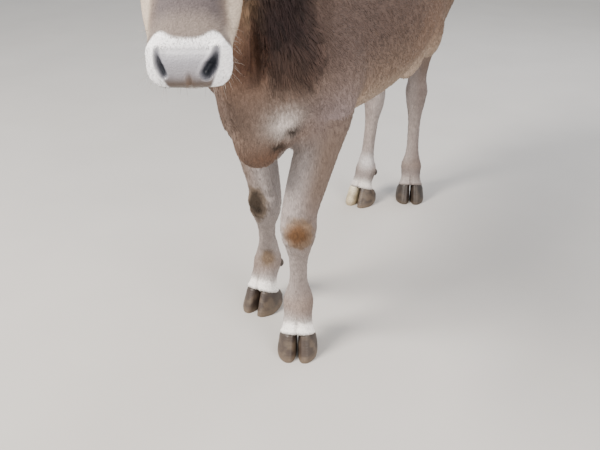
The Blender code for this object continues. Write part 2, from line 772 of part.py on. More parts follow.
def part_legs(body, group, helpers):
    """Splits the legs off the body, each at its shoulder seam and under the knee or hock."""
    nodes = {}
    for name, (side, fetlock, heading, _) in LEGS.items():
        outline, (front, back) = LEG_SEAMS[name]
        leg = copy_of(body, name, group)
        kept(leg, outline, across_body, front, back, "INTERSECT", helpers)
        bend = (KNEE if name.startswith("fore") else HOCK) - LOWER_LEG_SEAM
        lower = copy_of(leg, name + "_lower", group)
        cut(leg.data, Vector((0, 0, bend + GAP)), Vector((0, 0, 1)))
        cut(lower.data, Vector((0, 0, bend)), Vector((0, 0, -1)))
        plane, up = coronet_plane(fetlock, heading, GAP)
        cut(lower.data, plane, up)
        leg.name = name + "_upper"
        nodes[leg.name] = largest_mesh(leg)
        nodes[lower.name] = largest_mesh(lower)
    for outline, (front, back) in LEG_SEAMS.values():
        kept(body, grown(outline, GAP), across_body, front - GAP, back + GAP, "DIFFERENCE", helpers)
    return nodes


# Horn, eyes, ears and hair


def placed_on_foot(mesh, fetlock, heading):
    mesh.transform(Matrix.Translation((*fetlock, 0)) @ Matrix.Rotation(heading, 4, "Z"))
    return mesh


# A claw's outline at four heights: height, share of the full width, toe and heel ahead of the fetlock
CLAW_LEVELS = (
    (0.000, 1.00, 0.087, -0.010),
    (0.012, 1.00, 0.083, -0.013),
    (0.035, 0.93, 0.072, -0.014),
    (0.090, 0.80, 0.044, -0.011),
)
CLEFT = 0.0018  # from the middle of the foot to a claw's inner wall


def claw(name, lean, fetlock, heading, group):
    """One of a foot's two claws, on the side that lean gives."""
    around = 16
    bm = bmesh.new()
    loops = []
    for height, width_share, toe, heel in CLAW_LEVELS:
        half = (HOOF_WIDTH / 2 - CLEFT) * width_share / 2
        reach = (toe - heel) / 2
        loop = []
        for k in range(around):
            angle = 2 * math.pi * k / around
            out = math.cos(angle)
            fore = math.sin(angle)
            width = half * math.copysign(abs(out) ** (0.50 if out < 0 else 0.85), out)
            narrowing = 1 - 0.34 * max(0.0, fore) ** 2
            curl = -0.16 * half * max(0.0, fore) ** 2
            across = lean * (CLEFT + half + width * narrowing + curl)
            ahead = (toe + heel) / 2 + reach * math.copysign(abs(fore) ** 0.80, fore)
            loop.append(bm.verts.new((across, -ahead, height)))
        loops.append(loop)
    for near, far in zip(loops, loops[1:]):
        for i in range(around):
            j = (i + 1) % around
            bm.faces.new((near[i], near[j], far[j], far[i]))
    bm.faces.new(loops[0])
    bm.faces.new(loops[-1])
    mesh = placed_on_foot(mesh_of(bm, name), fetlock, heading)
    plane, up = coronet_plane(fetlock, heading, 0.0)
    cut(mesh, plane, -up)
    bm = bmesh.new()
    bm.from_mesh(mesh)
    bmesh.ops.triangulate(bm, faces=bm.faces)
    bm.to_mesh(mesh)
    bm.free()
    return new_object(name, mesh, group)


def dewclaw(name, lean, fetlock, heading, height, leg, group, helpers):
    """One of the two small horn buttons behind the fetlock."""
    rows = (
        (lean * 0.0165, 0.014, height - 0.010, 0.0100, 0.010, 0.010),
        (lean * 0.0180, 0.026, height - 0.017, 0.0120, 0.013, 0.012),
        (lean * 0.0185, 0.034, height - 0.026, 0.0105, 0.011, 0.010),
        (lean * 0.0185, 0.038, height - 0.035, 0.0050, 0.005, 0.005),
    )
    button = loft(name, rows, group, rings=4, around=8)
    placed_on_foot(button.data, fetlock, heading)
    return fitted(button, leg, helpers)


def eyeball(name, side, group):
    bm = bmesh.new()
    bmesh.ops.create_uvsphere(bm, u_segments=12, v_segments=8, radius=EYE_RADIUS)
    turn = Matrix((NOSE, BROW, LEFT)).transposed().to_4x4()
    bm.transform(Matrix.Translation(head_point(EYE[0], EYE[1], EYE[2] * side)) @ turn)
    return new_object(name, mesh_of(bm, name), group)


def ear(name, side, head, group, helpers):
    """A leaf-shaped cup, rolled at its root and open towards its tip."""
    root = head_point(0.026, 0.020, side * 0.074)
    along = (LEFT * side * 0.955 - NOSE * 0.235 - BROW * 0.14).normalized()
    across = along.cross(NOSE).normalized()
    cup = across.cross(along).normalized()
    if cup.dot(NOSE) < 0:
        cup.negate()
    lengthwise, crosswise = 10, 7
    bm = bmesh.new()
    grid = []
    for i in range(lengthwise):
        a = i / (lengthwise - 1)
        half = EAR_WIDTH / 2 * (0.36 + 0.64 * math.sin(math.pi * min(1.0, a * 1.06) ** 0.80))
        if a > 0.5:
            half = EAR_WIDTH / 2 * max(0.10, math.cos((a - 0.5) * math.pi) ** 0.75)
        roll = 1.75 * (1 - a) ** 1.6 + 0.55
        radius = half / math.sin(min(roll, math.pi / 2))
        droop = -BROW * 0.020 * a * a + NOSE * 0.012 * math.sin(math.pi * a)
        spine = root + along * (EAR_LENGTH * a) + droop
        row = []
        for j in range(crosswise):
            b = 2 * j / (crosswise - 1) - 1
            turn = b * roll
            place = across * (radius * math.sin(turn)) + cup * (radius * (1 - math.cos(turn)))
            row.append(bm.verts.new(spine + place))
        grid.append(row)
    for near, far in zip(grid, grid[1:]):
        for j in range(crosswise - 1):
            bm.faces.new((near[j], near[j + 1], far[j + 1], far[j]))
    mesh = mesh_of(bm, name)
    shell = new_object(name, mesh, group)
    wall = shell.modifiers.new("wall", "SOLIDIFY")
    wall.thickness = EAR_WALL
    wall.offset = 0
    baked(shell)
    return fitted(shell, head, helpers)


def horn(name, side, head, group, helpers):
    """A short first horn, out and up from the poll."""
    out = LEFT * side
    base = head_point(-0.004, 0.040, side * 0.036)
    rows = []
    for k in range(6):
        a = k / 5
        bend = out * (HORN_LENGTH + 0.024) * a * (1 - 0.25 * a) + BROW * HORN_LENGTH * 0.70 * a * a
        radius = 0.0160 * (1 - a) ** 0.7 + 0.0022
        rows.append((*(base + bend + NOSE * 0.010 * a * a), radius, radius, radius))
    shape = loft(name, rows, group, side=NOSE, rings=6, around=9)
    return seated(shape, head, helpers)


def lock(name, root, tip, width, thickness, bend, group):
    """A flat, tapered lock of hair from root to tip that bows out by bend."""
    root, tip = Vector(root), Vector(tip)
    run = tip - root
    shape = (1.0, 1.0, 0.86, 0.55, 0.12)
    rows = []
    for k, share in enumerate(shape):
        a = k / (len(shape) - 1)
        place = root + run * a + Vector(bend) * math.sin(math.pi * a)
        rows.append((*place, width / 2 * share, thickness / 2 * share, thickness / 2 * share))
    facing = Vector(bend).cross(run)
    if facing.length < 1e-6:
        facing = run.orthogonal()
    return loft(name, rows, group, side=facing.normalized(), rings=5, around=6)


def hair_union(core, locks_group):
    boolean(core, locks_group, "UNION", "MANIFOLD")
    for obj in list(locks_group.objects):
        bpy.data.objects.remove(obj, do_unlink=True)
    return core


SWITCH_TOP = 0.645


def tail_switch(dock, group):
    """The tail's tassel: locks that grow from the end of the dock and hang past it."""
    switch = copy_of(dock, "tail_switch", group)
    cut(switch.data, Vector((0, 0, SWITCH_TOP)), Vector((0, 0, -1)))
    locks = bpy.data.collections.new("switch_locks")
    bpy.context.scene.collection.children.link(locks)
    draw = np.random.default_rng(7)
    golden = math.pi * (3 - math.sqrt(5))
    count = 18
    for k in range(count):
        share = k / (count - 1)
        angle = golden * k
        out = Vector((math.cos(angle), math.sin(angle), 0))
        height = SWITCH_TOP - 0.012 - 0.095 * share
        root = Vector((-0.026, 0.6405, height)) + out * 0.004
        spread = 0.010 + 0.026 * draw.random() * (1 - 0.4 * share)
        end = SWITCH_TIP + 0.075 * (1 - share) * draw.random()
        tip = Vector((-0.036, 0.644, end)) + out * spread
        width = 0.014 + 0.006 * draw.random()
        lock(f"lock_{k}", root, tip, width, 0.006, out * (0.012 + 0.006 * draw.random()), locks)
    return hair_union(switch, locks)


def forelock(head, group, helpers):
    """The whorl of longer hair that falls from the poll over the forehead."""
    core = head_blob("forelock", 0.018, 0.058, 0, (0.036, 0.018, 0.032), group)
    locks = bpy.data.collections.new("forelock_locks")
    bpy.context.scene.collection.children.link(locks)
    draw = np.random.default_rng(11)
    count = 7
    for k in range(count):
        fan = (k / (count - 1) - 0.5) * 2
        start = head_point(0.012 + 0.010 * draw.random(), 0.062, 0.022 * fan)
        fall = 0.062 * (1 - 0.45 * abs(fan)) + 0.010 * draw.random()
        end = head_point(0.020 + fall, 0.073 - 0.004 * abs(fan), 0.046 * fan)
        lock(f"lock_{k}", start, end, 0.013, 0.006, BROW * 0.010, locks)
    hair_union(core, locks)
    return fitted(core, head, helpers)


# Materials


def linear(colour):
    """An sRGB hex colour as linear red, green, blue and alpha."""
    values = [int(colour[i : i + 2], 16) / 255 for i in (0, 2, 4)]
    return [v / 12.92 if v <= 0.04045 else ((v + 0.055) / 1.055) ** 2.4 for v in values] + [1.0]


FINISHES = {
    "coat": ("8b7364", 0.75),
    "pale_coat": ("bcb1aa", 0.75),
    "switch_hair": ("4d3d36", 0.70),
    "hoof_horn": ("4c433b", 0.45),
    "horn": ("8f8371", 0.40),
    "eye": ("1d1512", 0.08),
}


def finish(obj, name):
    material = bpy.data.materials.get(name) or bpy.data.materials.new(name)
    colour, roughness = FINISHES[name]
    material.use_nodes = True
    shader = material.node_tree.nodes["Principled BSDF"]
    shader.inputs["Base Color"].default_value = linear(colour)
    shader.inputs["Roughness"].default_value = roughness
    shader.inputs["Metallic"].default_value = 0.0
    obj.data.materials.clear()
    obj.data.materials.append(material)
    obj.data.shade_smooth()
    obj.data.set_sharp_from_angle(angle=math.radians(40))


# Assembly


def build():
    clear_scene()
    group = collection_named("alatau")
    helpers = collection_named("helpers")

    flesh = whole_flesh(helpers)
    refine_head(flesh)
    carve_head(flesh.data)

    head = copy_of(flesh, "head", group)
    reach = HEAD_REACH
    kept(head, grown(HEAD_SEAM, SPARE), beside_head, -reach, reach, "INTERSECT", helpers)
    reduced(head, HEAD_TRIANGLES)
    kept(head, HEAD_SEAM, beside_head, -reach, reach, "INTERSECT", helpers)

    body = copy_of(flesh, "torso", group)
    kept(body, grown(HEAD_SEAM, -SPARE), beside_head, -reach, reach, "DIFFERENCE", helpers)
    reduced(body, BODY_TRIANGLES)
    kept(body, grown(HEAD_SEAM, GAP), beside_head, -reach, reach, "DIFFERENCE", helpers)
    bpy.data.objects.remove(flesh, do_unlink=True)

    shoulder_cut = Vector((0, -0.440, WITHERS))
    shoulder_normal = Vector((0, -0.903, 0.429)).normalized()
    neck_piece = copy_of(body, "neck", group)
    cut(neck_piece.data, shoulder_cut + shoulder_normal * GAP, shoulder_normal)
    largest_surface(neck_piece.data)
    cut(body.data, shoulder_cut, -shoulder_normal)
    legs = part_legs(body, group, helpers)

    eyes, ears, horns = [], [], []
    for side, word in ((1, "left"), (-1, "right")):
        eyes.append(seated(eyeball("eye_" + word, side, group), head, helpers))
        ears.append(ear("ear_" + word, side, head, group, helpers))
        horns.append(horn("horn_" + word, side, head, group, helpers))

    dock = tail_dock(group)
    dock.name = "tail"
    switch = tail_switch(dock, group)
    cut(dock.data, Vector((0, 0, SWITCH_TOP + GAP)), Vector((0, 0, 1)))
    seated(dock, body, helpers)
    tuft = forelock(head, group, helpers)

    claws = []
    for name, (side, fetlock, heading, _) in LEGS.items():
        lower = legs[name + "_lower"]
        height = FORE_FETLOCK if name.startswith("fore") else HIND_FETLOCK
        for lean, word in ((-side, "inner"), (side, "outer")):
            claws.append(claw(f"{name}_claw_{word}", lean, fetlock, heading, group))
            place = (fetlock, heading, height, lower, group, helpers)
            claws.append(dewclaw(f"{name}_dewclaw_{word}", lean, *place))

    for obj in (head, body, neck_piece, dock, *ears):
        finish(obj, "coat")
    for name, obj in legs.items():
        finish(obj, "pale_coat" if "lower" in name else "coat")
    for obj in (switch, tuft):
        finish(obj, "switch_hair")
    for obj in claws:
        finish(obj, "hoof_horn")
    for obj in horns:
        finish(obj, "horn")
    for obj in eyes:
        finish(obj, "eye")
    centre_on_floor(group)


def centre_on_floor(group):
    """Moves the whole animal so that its box stands centred on the origin."""
    corners = np.vstack([vertex_array(obj.data) for obj in group.objects])
    middle = (corners.min(0) + corners.max(0)) / 2
    for obj in group.objects:
        obj.data.transform(Matrix.Translation((-middle[0], -middle[1], -corners[:, 2].min())))


build()
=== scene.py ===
# %% [markdown]
# # A young Alatau, dressed for the studio
# The real animal is brown, nine or ten months old, and stands on pale legs with its
# white-ringed muzzle turned to its left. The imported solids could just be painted, but a coat
# needs a finer skin. So one skin is built in their place, with tufts of hair over it, and with
# eyes, horns and hooves.

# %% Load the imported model
import math

import bmesh
import bpy
import numpy as np
from mathutils import Matrix, Vector
from mathutils.kdtree import KDTree


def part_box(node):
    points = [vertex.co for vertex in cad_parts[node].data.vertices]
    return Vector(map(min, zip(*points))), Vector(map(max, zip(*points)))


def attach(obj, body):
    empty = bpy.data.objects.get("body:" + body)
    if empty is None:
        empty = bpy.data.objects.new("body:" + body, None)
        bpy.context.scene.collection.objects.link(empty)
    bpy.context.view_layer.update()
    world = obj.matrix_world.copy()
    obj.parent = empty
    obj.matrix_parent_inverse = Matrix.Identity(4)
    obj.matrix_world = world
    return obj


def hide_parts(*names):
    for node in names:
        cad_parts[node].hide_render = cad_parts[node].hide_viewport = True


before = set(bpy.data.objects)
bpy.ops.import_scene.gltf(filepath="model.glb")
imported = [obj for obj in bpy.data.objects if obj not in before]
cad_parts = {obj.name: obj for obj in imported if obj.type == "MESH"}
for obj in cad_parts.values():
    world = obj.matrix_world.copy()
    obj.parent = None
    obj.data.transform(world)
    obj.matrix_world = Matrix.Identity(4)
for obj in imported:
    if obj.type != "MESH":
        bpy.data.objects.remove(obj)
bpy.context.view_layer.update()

print("nodes in the packed model:", len(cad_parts))

# %% [markdown]
# ## The animal's sizes
# The animal is measured in metres, facing -Y, with its left at +X and the floor at z = 0. The
# head is turned and nods, so it has a frame of its own: along the nose, up out of the brow, and
# left. Working in that frame keeps both halves of the face alike.

# %% Sizes and the head's frame
WITHERS = 1.08  # height of the back over the forelegs
KNEE = 0.325  # height of the knee's middle
HOCK = 0.388  # height of the hock's middle
FORE_FETLOCK = 0.13  # height of the fetlock's middle
HIND_FETLOCK = 0.117
CORONET = 0.067  # height of the hair line over the front of a hoof
HEEL = 0.034  # height of the horn at the back of a hoof
HOOF_WIDTH = 0.098
MUZZLE = Vector((0.173, -0.999, 0.838))  # middle of the nose pad
HEAD_LENGTH = 0.402  # poll to nose pad
HEAD_YAW = math.radians(29)  # to the animal's left
HEAD_PITCH = math.radians(33)  # nose down
EYE_RADIUS = 0.019
EAR_LENGTH = 0.158
EAR_WIDTH = 0.088
HORN_LENGTH = 0.068
TAIL_TIP = 0.53  # height of the end of the tail's dock
SWITCH_TIP = 0.4  # height that the tail's hair hangs to
VOXEL = 0.0055  # grid that fuses the flesh
CALM_FACES = 0.62  # share of the trunk's faces that is kept

NOSE = Vector(
    (
        math.sin(HEAD_YAW) * math.cos(HEAD_PITCH),
        -math.cos(HEAD_YAW) * math.cos(HEAD_PITCH),
        -math.sin(HEAD_PITCH),
    )
)
LEFT = Vector((math.cos(HEAD_YAW), math.sin(HEAD_YAW), 0))
BROW = NOSE.cross(LEFT)
NOSE_PAD_DROP = 0.025  # the nose pad's middle lies this far under the poll's axis
POLL = MUZZLE - NOSE * HEAD_LENGTH + BROW * NOSE_PAD_DROP
HEAD_AXES = np.array([NOSE, BROW, LEFT])
SIDES = {"left": 1, "right": -1}


def head_point(along, up, left=0.0):
    return POLL + NOSE * along + BROW * up + LEFT * left


def head_coordinates(points):
    """Columns along the nose, up and left of the points in the head's frame."""
    return (points - np.array(POLL)) @ HEAD_AXES.T


def from_head(local):
    """The way back: places in the head's frame, as rows, to the body's frame."""
    return np.array(POLL) + local @ HEAD_AXES


print("poll at", [round(c, 3) for c in POLL])

# %% [markdown]
# ## Helpers that make plain shapes
# A body could be sculpted by hand. Here each muscle and bone is a loft through measured rows,
# or a squashed ball, so that every size stays a number that can be read and changed. The same
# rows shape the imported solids, so skin and solids agree.

# %% Objects, meshes and smooth rows
shapes = bpy.data.collections.new("shapes")
bpy.context.scene.collection.children.link(shapes)


def eased(rows, count):
    """A smooth run of rows through the given ones."""
    rows = np.array(rows, float)
    at = np.linspace(0, len(rows) - 1, count)
    k = np.minimum(at.astype(int), len(rows) - 2)
    f = (at - k)[:, None]
    ends = np.vstack([2 * rows[0] - rows[1], rows, 2 * rows[-1] - rows[-2]])
    a, b, c, d = (ends[k + i] for i in range(4))
    curve = 2 * b + (c - a) * f + (2 * a - 5 * b + 4 * c - d) * f**2
    return 0.5 * (curve + (3 * b - a - 3 * c + d) * f**3)


def new_object(name, mesh, group=shapes):
    obj = bpy.data.objects.new(name, mesh)
    group.objects.link(obj)
    return obj


def mesh_of(bm, name):
    bmesh.ops.recalc_face_normals(bm, faces=bm.faces)
    mesh = bpy.data.meshes.new(name)
    bm.to_mesh(mesh)
    bm.free()
    return mesh


# %% Lofts and balls


def stacked(name, loops):
    """A closed mesh through a stack of loops that have the same number of points."""
    bm = bmesh.new()
    loops = [[bm.verts.new(point) for point in loop] for loop in loops]
    around = len(loops[0])
    for near, far in zip(loops, loops[1:]):
        for i in range(around):
            j = (i + 1) % around
            bm.faces.new((near[i], near[j], far[j], far[i]))
    bm.faces.new(loops[0])
    bm.faces.new(loops[-1])
    return mesh_of(bm, name)


def loft(name, rows, side=(1, 0, 0), rings=26, around=28, boxy=2.0, headings=None):
    """A closed body through rows of centre x, y, z, half width, rise and drop.

    The rise points along the path's direction crossed with side. boxy squares the outline, for
    the whole body or row by row, and headings turn the rows' sides about the vertical.
    """
    count = len(rows)
    squareness = np.broadcast_to(boxy, count)
    turns = np.zeros(count) if headings is None else headings
    rows = eased(np.column_stack([np.array(rows, float), squareness, turns]), rings)
    centres = rows[:, :3]
    ahead = np.gradient(centres, axis=0)
    turn_cos, turn_sin = np.cos(rows[:, 7]), np.sin(rows[:, 7])
    x, y, z = side
    sides = np.column_stack([x * turn_cos - y * turn_sin, x * turn_sin + y * turn_cos, np.full(rings, z)])
    rise_way = np.cross(ahead, sides)
    rise_way /= np.linalg.norm(rise_way, axis=1)[:, None]
    side_way = np.cross(rise_way, ahead)
    side_way /= np.linalg.norm(side_way, axis=1)[:, None]
    angle = np.linspace(0, 2 * math.pi, around, endpoint=False)
    loops = []
    for centre, side_dir, rise_dir, row in zip(centres, side_way, rise_way, rows):
        across = np.sign(np.cos(angle)) * np.abs(np.cos(angle)) ** (2 / row[6])
        over = np.sign(np.sin(angle)) * np.abs(np.sin(angle)) ** (2 / row[6])
        reach = np.where(over > 0, row[4], row[5]) * over
        loops.append(centre + np.outer(across * row[3], side_dir) + np.outer(reach, rise_dir))
    return new_object(name, stacked(name, loops))


def blob(name, centre, radii, tilt=0.0, axes=None):
    """An ellipsoid, tilted about X or set along three given axes."""
    bm = bmesh.new()
    bmesh.ops.create_uvsphere(bm, u_segments=20, v_segments=14, radius=1)
    turn = Matrix(axes).transposed().to_4x4() if axes else Matrix.Rotation(tilt, 4, "X")
    bm.transform(Matrix.Translation(centre) @ turn @ Matrix.Diagonal((*radii, 1)))
    return new_object(name, mesh_of(bm, name))


def head_blob(name, along, up, left, radii):
    return blob(name, head_point(along, up, left), radii, axes=(NOSE, BROW, LEFT))


# %% Read and write whole meshes


def baked(obj):
    """The object's mesh with its modifiers applied."""
    graph = bpy.context.evaluated_depsgraph_get()
    graph.update()
    mesh = bpy.data.meshes.new_from_object(obj.evaluated_get(graph))
    obj.modifiers.clear()
    obj.data = mesh
    return obj


def joined_mesh(objects, name):
    bm = bmesh.new()
    for obj in objects:
        bm.from_mesh(obj.data)
    mesh = bpy.data.meshes.new(name)
    bm.to_mesh(mesh)
    bm.free()
    return mesh


def triples(items, key):
    values = np.empty(len(items) * 3, np.float32)
    items.foreach_get(key, values)
    return values.reshape(-1, 3).astype(float)


def vertex_array(mesh):
    return triples(mesh.vertices, "co")


def normal_array(mesh):
    return triples(mesh.vertex_normals, "vector")


def set_vertices(mesh, points):
    mesh.vertices.foreach_set("co", points.astype(np.float32).ravel())
    mesh.update()


# %% Fades, spots and directions
def above(values, low, high):
    """0 below low, 1 above high, and a smooth rise between."""
    t = np.clip((values - low) / (high - low), 0, 1)
    return t * t * (3 - 2 * t)


def below(values, low, high):
    """1 below low, 0 above high, and a smooth fall between."""
    return 1 - above(values, low, high)


def bump(values, middle, width):
    """1 at the middle, fading to nothing about two widths away."""
    return np.exp(-(((values - middle) / width) ** 2))


def spot(points, centre, radii):
    """The same for places in space, round a centre."""
    return np.exp(-((((points - centre) / radii) ** 2).sum(1)))


def unit(vectors):
    """The vectors at length 1."""
    return vectors / (np.linalg.norm(vectors, axis=-1, keepdims=True) + 1e-9)


def laid_on(vectors, normals):
    """What is left of each vector across its normal, at length 1."""
    return unit(vectors - normals * (vectors * normals).sum(1)[:, None])


# %% Push and relax a mesh
def push_out(mesh, amount):
    """Moves each point along its normal by what a function gives for its place."""
    points = vertex_array(mesh)
    pushes = amount(points)
    set_vertices(mesh, points + normal_array(mesh) * pushes[:, None])
    return pushes


def relax(mesh, share, rounds):
    """Draws each point towards the middle of its neighbours, by its share."""
    edges = np.empty(len(mesh.edges) * 2, np.int32)
    mesh.edges.foreach_get("vertices", edges)
    near, far = edges.reshape(-1, 2).T
    points = vertex_array(mesh)
    size = len(points)
    neighbours = np.bincount(near, minlength=size) + np.bincount(far, minlength=size)
    for _ in range(rounds):
        for axis in range(3):
            column = points[:, axis]
            total = np.bincount(near, column[far], size) + np.bincount(far, column[near], size)
            points[:, axis] = column + 0.5 * share * (total / neighbours - column)
    set_vertices(mesh, points)


# %% [markdown]
# ## Flesh of the body
# The trunk is deep and narrow, as in a young animal that hasn't filled out. The muscles are
# balls sunk into it, and the neck and dewlap run up to the turned head.

# %% Trunk and muscles
def trunk():
    """Rows of y, top, widest height, bottom and half width, from the buttocks to the breast."""
    rows = (
        (0.592, 0.955, 0.88, 0.79, 0.05),
        (0.545, 1.032, 0.88, 0.69, 0.112),
        (0.45, 1.076, 0.85, 0.602, 0.15),
        (0.29, WITHERS + 0.01, 0.805, 0.546, 0.174),
        (0.15, WITHERS - 0.008, 0.768, 0.526, 0.192),
        (0.0, WITHERS - 0.022, 0.755, 0.516, 0.206),
        (-0.14, WITHERS - 0.024, 0.758, 0.517, 0.201),
        (-0.27, WITHERS - 0.01, 0.772, 0.52, 0.179),
        (-0.38, WITHERS + 0.002, 0.798, 0.518, 0.154),
        (-0.48, 1.048, 0.815, 0.512, 0.132),
        (-0.56, 0.98, 0.81, 0.576, 0.102),
        (-0.608, 0.905, 0.8, 0.67, 0.052),
    )
    path = [(0, y, wide, half, top - wide, wide - low) for y, top, wide, low, half in rows]
    squareness = (2.0, 2.1, 2.1, 2.15, 2.15, 2.15, 2.15, 2.1, 2.0, 1.9, 1.85, 1.9)
    return loft("trunk", path, rings=46, around=44, boxy=squareness)


def muscles(side):
    """Muscle and bone that stand out on one side of the body: name, centre, radii, tilt."""
    forms = (
        ("blade", (0.096, -0.39, 0.855), (0.05, 0.115, 0.182), -0.32),
        ("blade_spine", (0.122, -0.405, 0.84), (0.03, 0.022, 0.15), -0.32),
        ("shoulder", (0.107, -0.474, 0.73), (0.048, 0.08, 0.11), 0.25),
        ("breast", (0.048, -0.498, 0.64), (0.046, 0.072, 0.11), 0.3),
        ("triceps", (0.124, -0.375, 0.69), (0.052, 0.095, 0.105), 0.55),
        ("haunch", (0.098, 0.4, 0.85), (0.076, 0.16, 0.2), 0.15),
        ("buttock", (0.078, 0.515, 0.77), (0.06, 0.082, 0.2), -0.05),
        ("stifle", (0.12, 0.3, 0.66), (0.052, 0.08, 0.11), 0.35),
        ("flank_fold", (0.112, 0.205, 0.592), (0.03, 0.12, 0.056), 0.25),
        ("hook_bone", (0.13, 0.262, 0.985), (0.036, 0.052, 0.052), 0.0),
        ("pin_bone", (0.056, 0.548, 0.975), (0.034, 0.04, 0.048), 0.0),
    )
    return [blob(name, (x * side, y, z), radii, tilt) for name, (x, y, z), radii, tilt in forms]


def midline_forms():
    return [
        blob("brisket", (0, -0.48, 0.585), (0.058, 0.11, 0.094), 0.3),
        blob("tail_head", (0, 0.52, 1.034), (0.036, 0.085, 0.04), -0.25),
        blob("spine", (0, 0.1, WITHERS - 0.018), (0.022, 0.5, 0.018)),
        blob("navel", (0, 0.03, 0.52), (0.014, 0.036, 0.018)),
    ]


# %% Neck, dewlap and tail


def neck():
    """The neck bends to the left and runs into the back of the head."""
    inside = head_point(0.055, -0.022)
    rows = (
        (0.0, -0.39, 0.835, 0.13, 0.205, 0.23),
        (0.0, -0.48, 0.86, 0.117, 0.186, 0.19),
        (0.0, -0.565, 0.908, 0.099, 0.157, 0.155),
        (0.006, -0.645, 0.972, 0.083, 0.128, 0.128),
        (0.018, -0.705, 1.03, 0.071, 0.096, 0.112),
        (*inside, 0.068, 0.078, 0.092),
    )
    return loft("neck", rows, rings=26, around=32)


def dewlap():
    """The loose fold from the throat down to the brisket."""
    rows = (
        (0.03, -0.755, 0.925, 0.014, 0.018, 0.05),
        (0.018, -0.705, 0.86, 0.017, 0.024, 0.052),
        (0.006, -0.65, 0.78, 0.02, 0.028, 0.056),
        (0.0, -0.612, 0.7, 0.027, 0.034, 0.062),
        (0.0, -0.575, 0.63, 0.038, 0.034, 0.06),
        (0.0, -0.535, 0.57, 0.046, 0.032, 0.052),
        (0.0, -0.485, 0.53, 0.05, 0.03, 0.04),
    )
    return loft("dewlap", rows, rings=22, around=18)


def tail_dock():
    rows = (
        (0.0, 0.515, 1.036, 0.03, 0.028, 0.03),
        (0.0, 0.57, 1.034, 0.029, 0.028, 0.03),
        (0.0, 0.608, 1.0, 0.026, 0.024, 0.025),
        (-0.004, 0.624, 0.92, 0.021, 0.02, 0.02),
        (-0.012, 0.633, 0.79, 0.0165, 0.0165, 0.0165),
        (-0.022, 0.639, 0.66, 0.0135, 0.0135, 0.0135),
        (-0.03, 0.642, TAIL_TIP, 0.011, 0.011, 0.011),
    )
    return loft("tail_dock", rows, rings=16, around=9)


# %% [markdown]
# ## Flesh of the legs
# Each foot stands where the photograph puts it. The rows run from inside the body down to
# inside the hoof, and turn gradually until they face the way the foot faces.

# %% Where the legs stand
# Fetlock x and y, the heading of the foot, and knee or hock x and y, for each leg
LEGS = {
    "foreleg_left": (1, (0.058, -0.438), math.radians(22), (0.066, -0.454)),
    "foreleg_right": (-1, (-0.1, -0.298), math.radians(-2), (-0.072, -0.356)),
    "hindleg_left": (1, (0.04, 0.53), math.radians(20), (0.034, 0.545)),
    "hindleg_right": (-1, (-0.095, 0.433), math.radians(-5), (-0.082, 0.446)),
}
print("legs:", ", ".join(LEGS))


def ahead_of(fetlock, heading, by):
    return (fetlock[0] + by * math.sin(heading), fetlock[1] - by * math.cos(heading))


def foot_rows(fetlock, heading, height, slim):
    """From above the fetlock down into the hoof, a little slimmer for a hind foot."""
    levels = (
        (0.0, height + 0.034, 0.0295, 0.025, 0.035),
        (0.002, height, 0.0395, 0.031, 0.039),
        (0.018, height - 0.034, 0.0365, 0.031, 0.033),
        (0.027, CORONET + 0.006, 0.0405, 0.033, 0.036),
        (0.034, CORONET - 0.04, 0.042, 0.038, 0.04),
    )
    rows = []
    for ahead, z, half, front, back in levels:
        rows.append((*ahead_of(fetlock, heading, ahead), z, half * slim, front * slim, back * slim))
    return rows


def mixed(start, end, share):
    return (start[0] * (1 - share) + end[0] * share, start[1] * (1 - share) + end[1] * share)


def leg_loft(name, rows, heading):
    headings = [0, 0, 0, 0.3 * heading, 0.7 * heading] + [heading] * 10
    return loft(name, rows, rings=64, around=26, boxy=2.1, headings=headings)


# %% Forelegs
def foreleg(side, fetlock, heading, knee):
    """One foreleg from inside the shoulder to inside the hooves."""
    elbow = (side * 0.108, -0.385)
    rows = [
        (side * 0.108, -0.43, 0.8, 0.04, 0.09, 0.085),
        (side * 0.116, -0.405, 0.7, 0.054, 0.1, 0.086),
        (*mixed(elbow, knee, 0.02), 0.61, 0.057, 0.072, 0.076),
        (*mixed(elbow, knee, 0.35), 0.53, 0.052, 0.054, 0.062),
        (*mixed(elbow, knee, 0.7), 0.445, 0.0475, 0.044, 0.046),
        (*mixed(elbow, knee, 0.96), KNEE + 0.052, 0.0435, 0.037, 0.037),
        (*knee, KNEE, 0.0445, 0.039, 0.035),
        (*mixed(knee, fetlock, 0.15), KNEE - 0.036, 0.035, 0.031, 0.032),
        (*mixed(knee, fetlock, 0.38), KNEE - 0.072, 0.0255, 0.0235, 0.03),
        (*mixed(knee, fetlock, 0.7), FORE_FETLOCK + 0.07, 0.024, 0.0215, 0.03),
        *foot_rows(fetlock, heading, FORE_FETLOCK, 1.0),
    ]
    return leg_loft("foreleg", rows, heading)


# %% Hind legs
def hindleg(side, fetlock, heading, hock):
    """One hind leg from inside the haunch to inside the hooves."""
    stifle = (side * 0.112, 0.34)
    rows = [
        (side * 0.09, 0.415, 0.88, 0.055, 0.12, 0.105),
        (side * 0.1, 0.41, 0.77, 0.076, 0.138, 0.118),
        (*mixed(stifle, hock, 0.3), 0.67, 0.062, 0.104, 0.104),
        (*mixed(stifle, hock, 0.62), 0.58, 0.05, 0.07, 0.076),
        (*mixed(stifle, hock, 0.88), 0.495, 0.038, 0.047, 0.056),
        (*mixed(stifle, hock, 1.0), HOCK + 0.045, 0.0335, 0.035, 0.045),
        (*hock, HOCK, 0.0385, 0.034, 0.041),
        (*hock, HOCK - 0.045, 0.0345, 0.032, 0.034),
        (*mixed(hock, fetlock, 0.3), HOCK - 0.1, 0.025, 0.024, 0.029),
        (*mixed(hock, fetlock, 0.7), HIND_FETLOCK + 0.08, 0.023, 0.0225, 0.028),
        *foot_rows(fetlock, heading, HIND_FETLOCK, 0.96),
    ]
    return leg_loft("hindleg", rows, heading)


